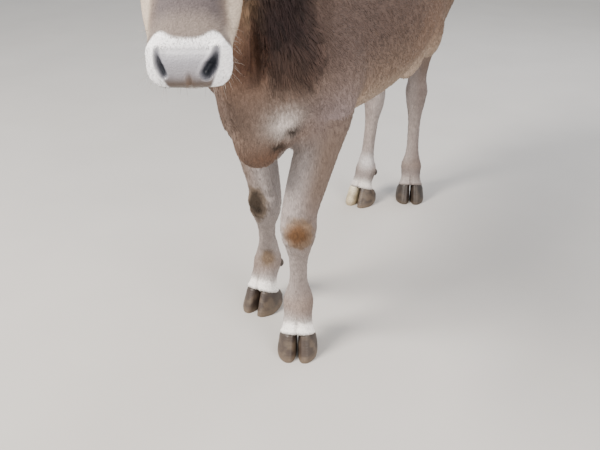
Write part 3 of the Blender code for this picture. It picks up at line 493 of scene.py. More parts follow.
def hock_point(side, heading, hock):
    """The heel bone behind the hock and the tendon that runs up from it."""
    bone = ahead_of(hock, heading, -0.04)
    top = (side * 0.095, 0.515)
    foot = ahead_of(hock, heading, -0.026)
    rows = (
        (*mixed(bone, top, 0.75), 0.6, 0.02, 0.03, 0.02),
        (*mixed(bone, top, 0.38), 0.52, 0.0125, 0.02, 0.014),
        (*bone, HOCK + 0.065, 0.013, 0.02, 0.014),
        (*bone, HOCK + 0.028, 0.0165, 0.026, 0.017),
        (*foot, HOCK - 0.03, 0.015, 0.024, 0.014),
    )
    return loft("hock_point", rows, rings=24, around=14, headings=[heading] * 5)


# %% [markdown]
# ## Flesh of the head
# The head is a wedge that is broad over the eyes and narrow over the nose, and widens again to
# a square muzzle. The rows give its top, widest level and bottom, in the head's own frame.

# %% Skull and jaw


def head_loft(name, rows, rings, around, boxy):
    """A loft through rows along the nose: place, top, widest height, bottom, half width."""
    path = [(*head_point(row[0], row[2]), row[4], row[1] - row[2], row[2] - row[3]) for row in rows]
    return loft(name, path, side=LEFT, rings=rings, around=around, boxy=boxy)


def skull_and_muzzle():
    rows = (
        (-0.03, 0.048, 0.0, -0.065, 0.054, 2.2),
        (0.0, 0.064, 0.01, -0.08, 0.064, 2.2),
        (0.045, 0.071, 0.014, -0.098, 0.079, 2.3),
        (0.095, 0.066, 0.01, -0.106, 0.088, 2.4),
        (0.14, 0.057, 0.0, -0.103, 0.086, 2.4),
        (0.19, 0.046, -0.014, -0.092, 0.079, 2.3),
        (0.24, 0.037, -0.03, -0.082, 0.074, 2.1),
        (0.29, 0.03, -0.038, -0.07, 0.068, 2.0),
        (0.33, 0.025, -0.034, -0.064, 0.059, 2.3),
        (0.354, 0.018, -0.031, -0.062, 0.0565, 2.7),
        (0.374, 0.007, -0.033, -0.061, 0.0575, 2.9),
        (0.39, -0.009, -0.037, -0.059, 0.056, 2.9),
        (HEAD_LENGTH - 0.001, -0.025, -0.04, -0.0545, 0.0505, 2.8),
        (HEAD_LENGTH + 0.006, -0.035, -0.043, -0.05, 0.042, 2.6),
    )
    return head_loft("skull", rows, 52, 36, [row[5] for row in rows])


def lower_jaw():
    rows = (
        (0.045, -0.045, -0.078, -0.126, 0.05),
        (0.1, -0.045, -0.088, -0.134, 0.064),
        (0.17, -0.045, -0.086, -0.122, 0.067),
        (0.24, -0.045, -0.08, -0.108, 0.068),
        (0.3, -0.045, -0.075, -0.1, 0.057),
        (0.34, -0.046, -0.073, -0.099, 0.046),
        (0.362, -0.05, -0.071, -0.093, 0.039),
        (0.378, -0.056, -0.069, -0.082, 0.03),
    )
    return head_loft("jaw", rows, 34, 26, 2.1)


# %% Forms over the skull
def head_forms():
    made = [skull_and_muzzle(), lower_jaw()]
    made.append(head_blob("poll", 0.0, 0.046, 0, (0.034, 0.026, 0.048)))
    made.append(head_blob("chin", 0.342, -0.086, 0, (0.03, 0.017, 0.03)))
    pairs = (
        ("cheek", 0.1, -0.062, 0.054, (0.072, 0.056, 0.03)),
        ("brow_bone", 0.118, 0.04, 0.064, (0.036, 0.016, 0.023)),
        ("cheek_bone", 0.178, -0.016, 0.066, (0.052, 0.013, 0.013)),
        ("nostril_wing", 0.374, -0.014, 0.039, (0.018, 0.022, 0.018)),
        ("upper_lip", 0.368, -0.044, 0.037, (0.03, 0.016, 0.019)),
        ("ear_root", 0.026, 0.02, 0.072, (0.024, 0.026, 0.022)),
        ("horn_root", -0.004, 0.048, 0.046, (0.02, 0.018, 0.02)),
    )
    for side in (-1, 1):
        made += [head_blob(name, along, up, left * side, radii) for name, along, up, left, radii in pairs]
    return made


# %% [markdown]
# ## One skin
# Booleans would leave hard creases where muscles cross. A voxel remesh melts the pieces into one
# surface, and a few rounds of smoothing take the grid's steps away. The trunk is smoothed much
# more than the head and legs, and then keeps fewer faces.

# %% Fuse the flesh


def whole_skin():
    parts = [trunk(), neck(), dewlap(), *midline_forms(), tail_dock()]
    for side in (-1, 1):
        parts += muscles(side)
    for name, (side, fetlock, heading, bend) in LEGS.items():
        if name.startswith("fore"):
            parts.append(foreleg(side, fetlock, heading, bend))
        else:
            parts.append(hindleg(side, fetlock, heading, bend))
            parts.append(hock_point(side, heading, bend))
    parts += head_forms()
    body = new_object("skin", joined_mesh(parts, "skin"))
    for part in parts:
        bpy.data.objects.remove(part, do_unlink=True)
    remesh = body.modifiers.new("fuse", "REMESH")
    remesh.mode = "VOXEL"
    remesh.voxel_size = VOXEL
    smooth = body.modifiers.new("smooth", "SMOOTH")
    smooth.factor = 0.5
    smooth.iterations = 8
    baked(body)
    points = vertex_array(body.data)
    local = head_coordinates(points)
    head_part = above(local[:, 0], -0.03, 0.05) * above(local[:, 1], -0.24, -0.15)
    above_legs = above(points[:, 2], 0.5, 0.66)
    off_tail = below(points[:, 1], 0.597, 0.612)
    smooth_share = (1 - head_part) * above_legs * off_tail
    relax(body.data, smooth_share, 70)
    calm = body.vertex_groups.new(name="calm")
    calm.add(np.flatnonzero((smooth_share > 0.99) & (points[:, 1] > -0.42)).tolist(), 1.0, "REPLACE")
    fewer = body.modifiers.new("fewer_faces", "DECIMATE")
    fewer.ratio = CALM_FACES
    fewer.vertex_group = "calm"
    return baked(body)


skin = whole_skin()
print("skin faces after fusing:", len(skin.data.polygons))

# %% [markdown]
# ## Finer faces where the detail is
# Lids and nostrils need faces of a millimetre or two, the trunk doesn't. So a test on each point
# picks the head, neck and lower legs, then the muzzle and eyes, and then the eyes once more.

# %% Places on the face
# Places on the left of the head, as along the nose, up and left. The right side mirrors them.
EYE = (0.138, 0.016, 0.0725)
LID_REACH = (0.0165, 0.0108)  # half the opening's length and height
NOSTRIL = (
    (0.382, 0.0, 0.0375),
    (0.389, -0.006, 0.035),
    (0.396, -0.013, 0.031),
    (0.404, -0.023, 0.0225),
)
# The line of the mouth seen from the side, as places along the nose and up, from its corner
MOUTH_ALONG = (0.285, 0.305, 0.34, 0.374, 0.4)
MOUTH_UP = (-0.058, -0.06, -0.062, -0.0605, -0.056)


# %% Split chosen faces
def split_faces(mesh, chosen, rounds):
    """Quarters the faces whose corners all pass a test on their places, then eases them."""
    picked = chosen(vertex_array(mesh))
    bm = bmesh.new()
    bm.from_mesh(mesh)
    edges = [e for e in bm.edges if picked[e.verts[0].index] and picked[e.verts[1].index]]
    bmesh.ops.subdivide_edges(bm, edges=edges, cuts=1, use_grid_fill=True)
    bmesh.ops.triangulate(bm, faces=[f for f in bm.faces if len(f.verts) > 4])
    bm.to_mesh(mesh)
    bm.free()
    mesh.update()
    relax(mesh, chosen(vertex_array(mesh)).astype(float), rounds)


# %% Choose the faces
def folded_head(points):
    """Places in the head's frame with the right half mirrored onto the left."""
    local = head_coordinates(points)
    local[:, 2] = np.abs(local[:, 2])
    return local


def from_eye(local):
    return np.linalg.norm(local - EYE, axis=1)


def mouth_off(local):
    """Height over the line of the mouth."""
    return local[:, 1] - np.interp(local[:, 0], MOUTH_ALONG, MOUTH_UP)


def on_head(points):
    local = folded_head(points)
    return (local[:, 0] > 0.0) & (local[:, 1] > -0.19) & (local[:, 2] < 0.13)


def on_neck_or_legs(points):
    low = points[:, 2] < 0.44
    neck_part = (points[:, 1] < -0.5) & (points[:, 2] > 0.5)
    return low | neck_part | on_head(points)


def face_detail(points):
    local = folded_head(points)
    off = np.abs(mouth_off(local))
    muzzle = (local[:, 0] > 0.325) | ((local[:, 0] > 0.27) & (off < 0.014))
    return (muzzle | (from_eye(local) < 0.046)) & on_head(points)


def near_eye(points):
    return from_eye(folded_head(points)) < 0.031


for chosen, rounds in ((on_neck_or_legs, 3), (face_detail, 2), (near_eye, 2)):
    split_faces(skin.data, chosen, rounds)
print("skin faces after splitting:", len(skin.data.polygons))

# %% [markdown]
# ## Sculpting with numbers
# A fold is a line with a depth and a width. Each point is pushed along its normal by an amount
# that fades with its distance from the line, which is what a sculptor's crease brush does.

# %% The crease brush


def distance_to_line(points, line):
    """Distance of each point to a line through the given corners, and how far along it is, 0 to 1."""
    best = np.full(len(points), 1e9)
    share = np.zeros(len(points))
    corners = np.array(line, float)
    for k in range(len(corners) - 1):
        step = corners[k + 1] - corners[k]
        t = np.clip((points - corners[k]) @ step / (step @ step), 0, 1)
        away = np.linalg.norm(points - corners[k] - t[:, None] * step, axis=1)
        nearer = away < best
        best[nearer] = away[nearer]
        share[nearer] = (k + t[nearer]) / (len(corners) - 1)
    return best, share


def crease(points, line, depth, width, lips=0.35):
    """How far to move each point for a fold along a line, with raised lips beside it."""
    away, share = distance_to_line(points, line)
    fade = np.sqrt(np.clip(np.sin(np.pi * np.clip(share, 0.02, 0.98)), 0, 1))
    return depth * fade * (lips * bump(away, 2 * width, width) - bump(away, 0, width))


def worked(points, creases, dents, lips=0.35):
    """How far to move each point for tables of folds and of hollows; a hollow below 0 swells."""
    push = np.zeros(len(points))
    for line, depth, width in creases:
        push += crease(points, line, depth, width, lips)
    for centre, radii, depth in dents:
        push -= depth * spot(points, centre, radii)
    return push


# %% [markdown]
# ## The face
# The muzzle has comma-shaped nostrils, a furrow down the middle and a slit of a mouth. Over the
# eye lies the bone's rim, behind it a hollow, and along the cheek the edge of the chewing muscle.

# %% Nostrils, mouth and the bones of the face
# The right nostril is pinched, and runs further out towards its lower end
RIGHT_NOSTRIL = [(along, up, aside + 0.0095 * k / 3) for k, (along, up, aside) in enumerate(NOSTRIL)]
FACE_FOLDS = (
    (((0.158, 0.004, 0.08), (0.182, -0.01, 0.074), (0.205, -0.03, 0.066)), 0.002, 0.005),
    (((0.165, -0.045, 0.078), (0.16, -0.085, 0.07), (0.135, -0.12, 0.06)), 0.0022, 0.008),
    (((0.235, -0.006, 0.06), (0.275, -0.012, 0.056), (0.315, -0.014, 0.054)), 0.0018, 0.007),
    (((0.33, -0.03, 0.06), (0.345, -0.042, 0.06), (0.352, -0.056, 0.055)), 0.0012, 0.005),
    (((0.405, -0.014, 0), (0.408, -0.034, 0), (0.404, -0.052, 0)), 0.0022, 0.0022),
)
PAD_TOP = (((0.384, 0.001, 0.033), (0.386, 0.0015, 0.016), (0.387, 0.0015, 0)), 0.0004, 0.0022)
FACE_DENTS = (
    ((0.128, 0.046, 0.072), (0.03, 0.011, 0.02), -0.0035),
    ((0.082, 0.02, 0.085), (0.02, 0.02, 0.02), 0.006),
    ((0.15, -0.02, 0.085), (0.03, 0.012, 0.02), -0.0018),
    ((0.075, 0.066, 0), (0.04, 0.02, 0.03), 0.003),
)


def nostril_at(points):
    """Distance from the slit, share along it and its half width."""
    local = folded_head(points)
    right = head_coordinates(points)[:, 2] < 0
    left_slit = distance_to_line(local, NOSTRIL)
    right_slit = distance_to_line(local, RIGHT_NOSTRIL)
    away = np.where(right, right_slit[0], left_slit[0])
    share = np.where(right, right_slit[1], left_slit[1])
    wide = np.interp(share, (0, 0.35, 0.75, 1), (0.0024, 0.0036, 0.0062, 0.005))
    return away, share, wide * np.where(right, 0.58, 1.0)


def face_push(points):
    local = folded_head(points)
    push = worked(local, FACE_FOLDS, FACE_DENTS) + worked(local, [PAD_TOP], [], 0.8)
    away, share, wide = nostril_at(points)
    push -= (0.006 + 0.01 * share) * (wide / 0.006) * bump(away, 0, wide)
    push += 0.0016 * bump(away, wide + 0.0045, 0.003)
    off = mouth_off(local)
    slit = -0.0058 * bump(off, 0, 0.0026)
    lips = 0.0012 * bump(off, 0.0075, 0.0035) + 0.0018 * bump(off, -0.008, 0.004)
    push += (slit + lips) * above(local[:, 0], MOUTH_ALONG[0] - 0.01, MOUTH_ALONG[1])
    return push * on_head(points)


# %% [markdown]
# ## The eyelids
# The lids could be separate flaps, but a seam would show. Instead the skin round the eye is
# drawn onto a ball a little larger than the eye, and inside the slit it dives under the eye.

# %% Lids drawn over the eyeball
SLIT_TILT = math.radians(9)
LID_THICKNESS = 0.0024


def eye_slit(local):
    """1 on the edge of the slit between the lids, less inside it and more outside."""
    ahead, over = local[:, 0] - EYE[0], local[:, 1] - EYE[1]
    run = ahead * math.cos(SLIT_TILT) - over * math.sin(SLIT_TILT)
    rise = ahead * math.sin(SLIT_TILT) + over * math.cos(SLIT_TILT)
    reach = np.where(rise > 0, LID_REACH[1] * 1.05, LID_REACH[1] * 0.86)
    return (np.abs(run / LID_REACH[0]) ** 1.8 + np.abs(rise / reach) ** 1.8) ** (1 / 1.8)


def draw_lids(points):
    signed = head_coordinates(points)
    side = np.where(signed[:, 2] < 0, -1.0, 1.0)
    local = signed.copy()
    local[:, 2] *= side
    slit = eye_slit(local)
    beside = above(local[:, 2], EYE[2] - 0.012, EYE[2] - 0.004)
    out = local - EYE
    radius = np.linalg.norm(out, axis=1)
    near = beside * below(slit, 1.22, 1.95) * (radius < 0.045)
    under = below(slit, 0.9, 1.02)
    wanted = EYE_RADIUS + LID_THICKNESS * (1 - under) - 0.0035 * under
    rim = 0.0008 * bump(slit, 1.08, 0.06) - 0.001 * bump(slit, 1.42, 0.09)
    local = EYE + out * ((radius + near * (wanted + rim - radius)) / np.maximum(radius, 1e-6))[:, None]
    local[:, 2] *= side
    return from_head(local)


calm_points = vertex_array(skin.data)
push_out(skin.data, face_push)
set_vertices(skin.data, draw_lids(vertex_array(skin.data)))
print("widest lid opening in mm:", round(2000 * LID_REACH[0], 1))

# %% [markdown]
# ## Folds of the neck and body
# The head is turned left, so the loose skin gathers on the left of the neck. Behind the ribs
# lies the hollow of the flank, and the shoulder blade and thigh show their edges through the skin.

# %% Neck and body
DARK_FOLD = ((0.075, -0.65, 0.87), (0.061, -0.62, 0.8), (0.05, -0.6, 0.75), (0.043, -0.592, 0.69))
NEXT_FOLD = ((0.088, -0.632, 0.88), (0.08, -0.598, 0.8), (0.07, -0.575, 0.715), (0.062, -0.575, 0.64))
NECK_FOLDS = (
    (DARK_FOLD, 0.019, 0.0075),
    (NEXT_FOLD, 0.006, 0.009),
    (((0.045, -0.662, 0.82), (0.026, -0.645, 0.75), (0.014, -0.628, 0.69)), 0.005, 0.008),
    (((0.066, -0.56, 0.64), (0.05, -0.566, 0.59), (0.04, -0.552, 0.545)), 0.0035, 0.009),
    (((0.092, -0.54, 0.61), (0.082, -0.528, 0.58), (0.06, -0.524, 0.548)), 0.008, 0.008),
    (((-0.06, -0.64, 0.86), (-0.062, -0.61, 0.78), (-0.052, -0.59, 0.7)), 0.0045, 0.01),
    (((-0.092, -0.54, 0.61), (-0.082, -0.528, 0.58), (-0.06, -0.524, 0.548)), 0.008, 0.008),
)
BODY_FOLDS = (
    (((0.13, -0.29, 0.97), (0.158, -0.275, 0.86), (0.176, -0.262, 0.74)), 0.0075, 0.02),
    (((0.172, -0.292, 0.65), (0.15, -0.27, 0.6), (0.115, -0.262, 0.56)), 0.008, 0.011),
    (((0.128, -0.52, 0.76), (0.15, -0.5, 0.69), (0.145, -0.47, 0.62)), 0.0035, 0.014),
    (((0.12, 0.5, 0.96), (0.122, 0.5, 0.84), (0.108, 0.5, 0.7)), 0.005, 0.013),
    (((0.165, 0.235, 0.76), (0.158, 0.245, 0.69), (0.138, 0.235, 0.62)), 0.0085, 0.015),
    (((0.145, 0.33, 0.96), (0.155, 0.345, 0.88), (0.15, 0.35, 0.8)), 0.0025, 0.018),
    (((0.05, 0.56, 0.96), (0.036, 0.59, 0.9), (0.03, 0.596, 0.82)), 0.005, 0.012),
)


BODY_DENTS = (
    ((0.15, 0.18, 0.91), (0.09, 0.075, 0.08), 0.0085),
    ((0.165, 0.08, 0.88), (0.05, 0.03, 0.12), -0.002),
    ((0.046, 0.556, 0.985), (0.024, 0.03, 0.03), 0.005),
    ((0.085, -0.64, 0.93), (0.04, 0.06, 0.02), 0.003),
)
RIB_SPACING = 0.046


def body_push(points):
    mirrored = points * 1.0
    mirrored[:, 0] = np.abs(mirrored[:, 0])
    y, z = points[:, 1], points[:, 2]
    ribs = 0.0014 * np.sin((y + 0.25 * (z - 0.75)) * 2 * math.pi / RIB_SPACING)
    push = worked(points, NECK_FOLDS, []) + worked(mirrored, BODY_FOLDS, BODY_DENTS, 0.2)
    return push + ribs * bump(y, -0.02, 0.13) * bump(z, 0.74, 0.15)


push_out(skin.data, body_push)
print("folds:", len(NECK_FOLDS), "on the neck and", len(BODY_FOLDS), "mirrored on the body")

# %% [markdown]
# ## Bones and tendons of the lower legs
# There is no flesh below the knee, only bone, tendon and skin. A groove parts the tendon from
# the cannon bone, the knee is a box of small bones, and a furrow runs down between the toes.

# %% Planes and frames of the feet


def coronet_plane(fetlock, heading, clearance):
    """The sloping plane between skin and horn, and its upward normal."""
    slope = (CORONET - HEEL) / 0.07
    normal = Vector((-slope * math.sin(heading), slope * math.cos(heading), 1)).normalized()
    front = Vector((*ahead_of(fetlock, heading, 0.06), CORONET))
    return front + normal * clearance, normal


def leg_line(name, heights):
    """The middle of a leg at some heights, as x and y."""
    side, fetlock, heading, bend = LEGS[name]
    fore = name.startswith("fore")
    foot = ahead_of(fetlock, heading, 0.027)
    levels = (0.0, CORONET, FORE_FETLOCK, KNEE, 0.61) if fore else (0.0, CORONET, HIND_FETLOCK, HOCK, 0.67)
    root = (side * 0.108, -0.385) if fore else mixed((side * 0.112, 0.34), bend, 0.3)
    places = np.array((foot, foot, fetlock, bend, root))
    return np.interp(heights, levels, places[:, 0]), np.interp(heights, levels, places[:, 1])


def foot_frame(name, points):
    """Places as across (outer side positive), ahead of the leg's middle, and height."""
    side, _, heading, _ = LEGS[name]
    x, y = leg_line(name, points[:, 2])
    dx, dy = points[:, 0] - x, points[:, 1] - y
    across = (dx * math.cos(heading) + dy * math.sin(heading)) * side
    ahead = dx * math.sin(heading) - dy * math.cos(heading)
    return across, ahead, points[:, 2]


def above_hair_line(name, points):
    """Height over the sloping line where the horn begins."""
    _, fetlock, heading, _ = LEGS[name]
    plane, up = coronet_plane(fetlock, heading, 0.0)
    return (points - np.array(plane)) @ np.array(up)


def at_hoof(name, points):
    """Which points lie near a foot's hair line, and their heights over it."""
    across, ahead, height = foot_frame(name, points)
    return (np.hypot(across, ahead) < 0.08) & (height < 0.12), above_hair_line(name, points)


# %% Bones and folds of the lower legs
def leg_push(points):
    push = np.zeros(len(points))
    for name in LEGS:
        fore = name.startswith("fore")
        across, ahead, height = foot_frame(name, points)
        near = (np.hypot(across, ahead) < 0.075) & (height < HOCK + 0.16)
        low, top = (FORE_FETLOCK, KNEE) if fore else (HIND_FETLOCK, HOCK)
        shaft = above(height, low + 0.02, low + 0.05) * below(height, top - 0.075, top - 0.045)
        wide = above(np.abs(across), 0.004, 0.014)
        leg = -0.0034 * shaft * wide * bump(ahead, -0.009, 0.0055)
        leg += -0.0022 * shaft * wide * bump(ahead, -0.023, 0.004)
        front = above(ahead, 0.01, 0.022)
        if fore:
            leg += 0.002 * front * bump(height, top + 0.012, 0.012)
            leg += 0.0016 * front * bump(height, top - 0.02, 0.01)
            leg += -0.0022 * front * bump(height, top + 0.036, 0.008)
            leg += -0.0018 * (1 - front) * bump(height, top - 0.004, 0.006)
            behind = bump(ahead, -0.03, 0.012) * bump(across, 0.014, 0.014)
            leg += 0.005 * bump(height, top + 0.01, 0.016) * behind
        else:
            leg += -0.005 * wide * bump(ahead, -0.018, 0.009) * bump(height, top + 0.085, 0.05)
            leg += 0.0018 * bump(height, top - 0.006, 0.014) * bump(ahead, 0.012, 0.014) * wide
            leg += -0.0016 * front * bump(height, top + 0.03, 0.01)
        middle = bump(across, 0.0, 0.0042)
        cleft = middle * front * below(height, CORONET + 0.012, CORONET + 0.042)
        leg += -0.008 * cleft
        heel = below(ahead, -0.016, -0.004) * bump(height, low - 0.045, 0.026)
        leg += -0.007 * middle * heel
        over = above_hair_line(name, points)
        leg += 0.003 * bump(over, 0.004, 0.006)
        leg += -0.0014 * bump(over, 0.024, 0.009)
        push += np.where(near, leg, 0.0)
    return push


push_out(skin.data, leg_push)
print("heights in mm: knee", round(KNEE * 1000), "hock", round(HOCK * 1000))

# %% [markdown]
# ## How long the hair is
# One function gives the coat's length everywhere: millimetres on the face and feet, a
# centimetre or so on the body, and four on the shaggy neck. The skin sinks by the coat's depth,
# so that the hair ends about where the solids' faces are.

# %% Coat length and depth
SHORT_FUR = 0.0055
LEG_FUR = 0.008
BODY_FUR = 0.013
NECK_FUR = 0.042


def neck_middle(points):
    """The neck's middle x at each point's y, for the bend to the left."""
    return np.interp(-points[:, 1], (0.56, 0.645, 0.705, 0.755), (0.0, 0.006, 0.018, 0.034))


def shag(points):
    """1 on the shaggy sides of the neck, 0 elsewhere."""
    x, y, z = points.T
    local = head_coordinates(points)
    aside = x - neck_middle(points)
    beside = np.where(aside > 0, above(aside, 0.046, 0.07), above(-aside, 0.035, 0.065))
    behind_jaw = below(local[:, 0] + 0.3 * (local[:, 1] + 0.1), 0.0, 0.08)
    reach = above(-y, 0.485, 0.555) * above(z, 0.66, 0.73)
    return reach * beside * np.maximum(behind_jaw, below(z, 0.84, 0.92))


def leg_share(points):
    """1 on the legs below the body, fading out at the elbow and the thigh."""
    share = np.zeros(len(points))
    for name in LEGS:
        x, y = leg_line(name, points[:, 2])
        away = np.hypot(points[:, 0] - x, points[:, 1] - y)
        share = np.maximum(share, below(away, 0.072, 0.105))
    return share * below(points[:, 2], 0.5, 0.62)


def head_share(points):
    local = folded_head(points)
    ahead = above(local[:, 0], -0.02, 0.05) * above(local[:, 1], -0.19, -0.13)
    return ahead * (local[:, 2] < 0.14)


def coat_length(points):
    _, y, z = points.T
    local = folded_head(points)
    length = BODY_FUR - 0.002 * above(-y, 0.46, 0.54) * below(z, 0.7, 0.8)
    length += 0.004 * below(z, 0.5, 0.54) * (y < 0)
    length += (NECK_FUR - length) * shag(points)
    length += (LEG_FUR - length) * leg_share(points)
    for name in LEGS:
        near, over = at_hoof(name, points)
        length *= 1 - 0.45 * near * below(over, 0.004, 0.012)
    head = head_share(points)
    length += (SHORT_FUR + 0.004 - length) * head
    length += (SHORT_FUR - 0.0015 - length) * head * above(local[:, 0], 0.1, 0.3)
    in_fold, _ = distance_to_line(points, DARK_FOLD)
    length *= 1 - 0.66 * bump(in_fold, 0.0, 0.017)
    return length + 0.01 * spot(local, (0.02, 0.06, 0), 0.04)


def coat_push(points):
    """Down by the coat's depth, but not at the lids."""
    depth = 0.0006 + np.minimum(0.21 * coat_length(points), 0.0055)
    return -depth * above(from_eye(folded_head(points)), 0.026, 0.04)


sunk = push_out(skin.data, coat_push)
print("coat depth in mm:", round(-1000 * sunk.max(), 1), "to", round(-1000 * sunk.min(), 1))

# %% [markdown]
# ## Where skin meets hoof
# The flesh was lofted down into the hooves. Everything under the sloping hair line is laid flat
# onto that line, which closes each leg just where its horn begins.

# %% Lay the leg ends on the hair line
UNDER_HORN = 0.0015  # how far the skin reaches under the horn's edge


def close_legs(points):
    points = points * 1.0
    for name, (_, fetlock, heading, _) in LEGS.items():
        near, over = at_hoof(name, points)
        up = np.array(coronet_plane(fetlock, heading, 0)[1])
        low = near & (over < -UNDER_HORN)
        points[low] -= np.outer(over[low] + UNDER_HORN, up)
    return points


set_vertices(skin.data, close_legs(vertex_array(skin.data)))
skin.data.shade_smooth()
print("lowest point of the skin in mm:", round(1000 * vertex_array(skin.data)[:, 2].min(), 1))

# %% [markdown]
# ## Markings
# A picture laid over the animal would hold one side and one light. Here the markings are washes
# of colour, most of them soft patches in space. A few washes are painted light and shade: shade
# in folds and creases, under the jaw, in the nostrils and on sides turned from the light, a
# lighter inner side on the legs and a highlight on the chest. The skin and every tuft of hair
# ask the same function for their colour, so the two always agree.

# %% Colours


def linear(colour):
    """An sRGB hex colour as linear red, green, blue and alpha."""
    values = [int(colour[i : i + 2], 16) / 255 for i in (0, 2, 4)]
    return [v / 12.92 if v <= 0.04045 else ((v + 0.055) / 1.055) ** 2.4 for v in values] + [1.0]


def plain(hex_colour, points):
    """One colour for every point."""
    return np.tile(linear(hex_colour)[:3], (len(points), 1))


def washed(colours, washes):
    """Lays washes over the colours, in turn: a hex colour and its share for each point."""
    for hex_colour, share in washes:
        share = np.clip(share, 0, 1)[:, None]
        colours = colours * (1 - share) + np.array(linear(hex_colour)[:3]) * share
    return colours


def ripple(points, scale, seed):
    """Smooth wandering values between -1 and 1 with a given size of wave in metres."""
    draw = np.random.default_rng(seed)
    total = np.zeros(len(points))
    for _ in range(6):
        direction = draw.normal(size=3)
        direction /= np.linalg.norm(direction) * scale * (0.6 + 0.8 * draw.random()) / 6.28
        phase = 6.28 * draw.random()
        total += np.sin(points @ direction + phase + 1.4 * np.sin(points @ direction[[1, 2, 0]]))
    return total / 3.2


# %% Markings of the body, with painted shade and a painted highlight
def body_colour(points):
    x, y, z = points.T
    aside = x - neck_middle(points)
    dark_zone = above(-y, 0.4, 0.6) * above(z, 0.68, 0.84) * above(np.abs(aside), 0.01, 0.06)
    forward = above(-y, 0.44, 0.54)
    middle = above(aside, -0.04, -0.01) * below(aside, 0.036, 0.062)
    in_fold, _ = distance_to_line(points, DARK_FOLD)
    low_fold = above(z, 0.67, 0.71) * (1 - 0.75 * above(z, 0.785, 0.825))
    low_chest = above(-y, 0.42, 0.5) * below(z, 0.64, 0.74)
    washes = [
        ("6d5a51", 0.6 * (0.5 + 0.5 * ripple(points, 0.16, 3))),
        ("4f3f39", 0.65 * above(z, 0.95, 1.05)),
        ("9b8371", 0.9 * below(z, 0.58, 0.76)),
        ("9c7b64", 0.55 * spot(points, (0.19, 0.13, 0.7), (0.1, 0.2, 0.12))),
        ("8f7564", 0.75 * spot(points, (0.15, 0.42, 0.8), (0.14, 0.16, 0.2))),
        ("c6ae99", 0.9 * below(z, 0.55, 0.66) * above(y, -0.36, -0.24)),
        ("bda691", 0.8 * spot(points, (0, 0.36, 0.62), (0.13, 0.1, 0.14))),
        ("6b5a53", 0.6 * spot(points, (0.15, -0.34, 0.84), (0.1, 0.16, 0.1))),
        ("3f2e28", 0.8 * dark_zone),
        ("271a1b", 0.9 * shag(points) * above(z, 0.68, 0.84)),
        ("4a352b", 0.65 * shag(points) * below(z, 0.7, 0.82)),
        ("8a6b57", 0.9 * forward * middle * below(z, 0.9, 0.98)),
        # along the neck's deep fold a brown band, partly the neck's rusty tone and partly painted shade
        ("573524", 0.8 * bump(in_fold, 0.0, 0.022) * low_fold),
        ("94795f", 0.75 * spot(points, (0.066, -0.656, 0.85), (0.012, 0.024, 0.05))),
        ("7a5d4b", 0.5 * spot(points, (0.046, -0.572, 0.635), (0.04, 0.05, 0.045))),
        # painted shadow under the jaw, on the left of the neck beside the fold
        ("4b2f22", 0.85 * spot(points, (0.03, -0.614, 0.745), (0.026, 0.04, 0.05))),
        ("7d6a5f", 0.9 * low_chest),
        ("95878a", 0.75 * spot(points, (0.145, -0.43, 0.6), (0.06, 0.1, 0.08))),
        # painted shade on the right of the lower chest, the side turned from the light
        ("6a574e", 0.7 * low_chest * above(-x, -0.045, 0.02) * above(z, 0.58, 0.64)),
        ("75523c", 0.65 * spot(points, (0.02, -0.53, 0.53), (0.06, 0.07, 0.032))),
        # a near-white spot on the front of the left chest: a painted highlight
        ("ece2dc", 0.9 * spot(points, (0.084, -0.542, 0.608), (0.038, 0.044, 0.034))),
        # the near-black line in the bottom of the fold is painted shade
        ("140a07", 1.35 * bump(in_fold, 0.0, 0.01) * low_fold),
    ]
    return washed(plain("5f4e47", points), washes)


# %% Markings of the legs, with painted light and shade
def leg_colour(points, colour):
    brown = spot(points, (0.082, -0.494, 0.334), (0.03, 0.034, 0.032))
    dark = spot(points, (-0.081, -0.394, 0.338), (0.026, 0.034, 0.04))
    low_stain = spot(points, (-0.086, -0.33, 0.15), (0.024, 0.03, 0.026))
    ragged = 0.07 * ripple(points, 0.03, 12)
    washes = [("897b76", leg_share(points) * (1 - 0.5 * above(points[:, 2], 0.46, 0.6)))]
    for name, (side, _, _, _) in LEGS.items():
        fore = name.startswith("fore")
        across, ahead, height = foot_frame(name, points)
        near = (np.hypot(across, ahead) < 0.11) & (height < 0.6)
        joint, low = (KNEE, FORE_FETLOCK) if fore else (HOCK, HIND_FETLOCK)
        over = above_hair_line(name, points)
        inside = below(across, -0.03, 0.02)
        white = {"hindleg_left": 0.15, "hindleg_right": 0.6}.get(name, 1.1)
        washes += [
            # the inner side lighter and the outer side over the joint darker: painted light and painted
            # shade
            ("b3a9a6", near * (0.85 * inside + 0.15 * (side < 0)) * below(height, 0.5, 0.58)),
            ("7c695c", near * 0.7 * (1 - inside) * above(height, joint + 0.02, joint + 0.12)),
            ("a59a95", near * 0.7 * bump(height, (joint + low) / 2, 0.09)),
            ("8f7e74", near * 0.75 * bump(height, low, 0.024)),
            ("7d7370", near * 0.8 * bump(over, 0.045, 0.022) * (ahead > -0.01) * (not fore)),
            ("fbf8f4", near * white * bump(over, 0.014, 0.018)),
        ]
    washes += [
        ("80674e", 0.75 * above(brown + ragged, 0.04, 0.3)),
        ("664629", 0.92 * above(brown + ragged, 0.2, 0.85)),
        ("5d4c37", 0.75 * above(dark + ragged, 0.06, 0.35)),
        ("2b2014", 0.95 * above(dark + ragged, 0.2, 0.75)),
        ("66523c", 0.85 * above(low_stain + ragged, 0.1, 0.75)),
        ("d9d7d8", 0.85 * spot(points, (-0.086, 0.407, 0.15), (0.04, 0.05, 0.028))),
        # two near-black spots in the crease between the chest and the left foreleg: painted shade
        ("2a1d13", spot(points, (0.082, -0.514, 0.59), (0.013, 0.026, 0.013))),
        ("2a1d13", spot(points, (0.052, -0.517, 0.555), (0.014, 0.028, 0.014))),
    ]
    return washed(colour, washes)


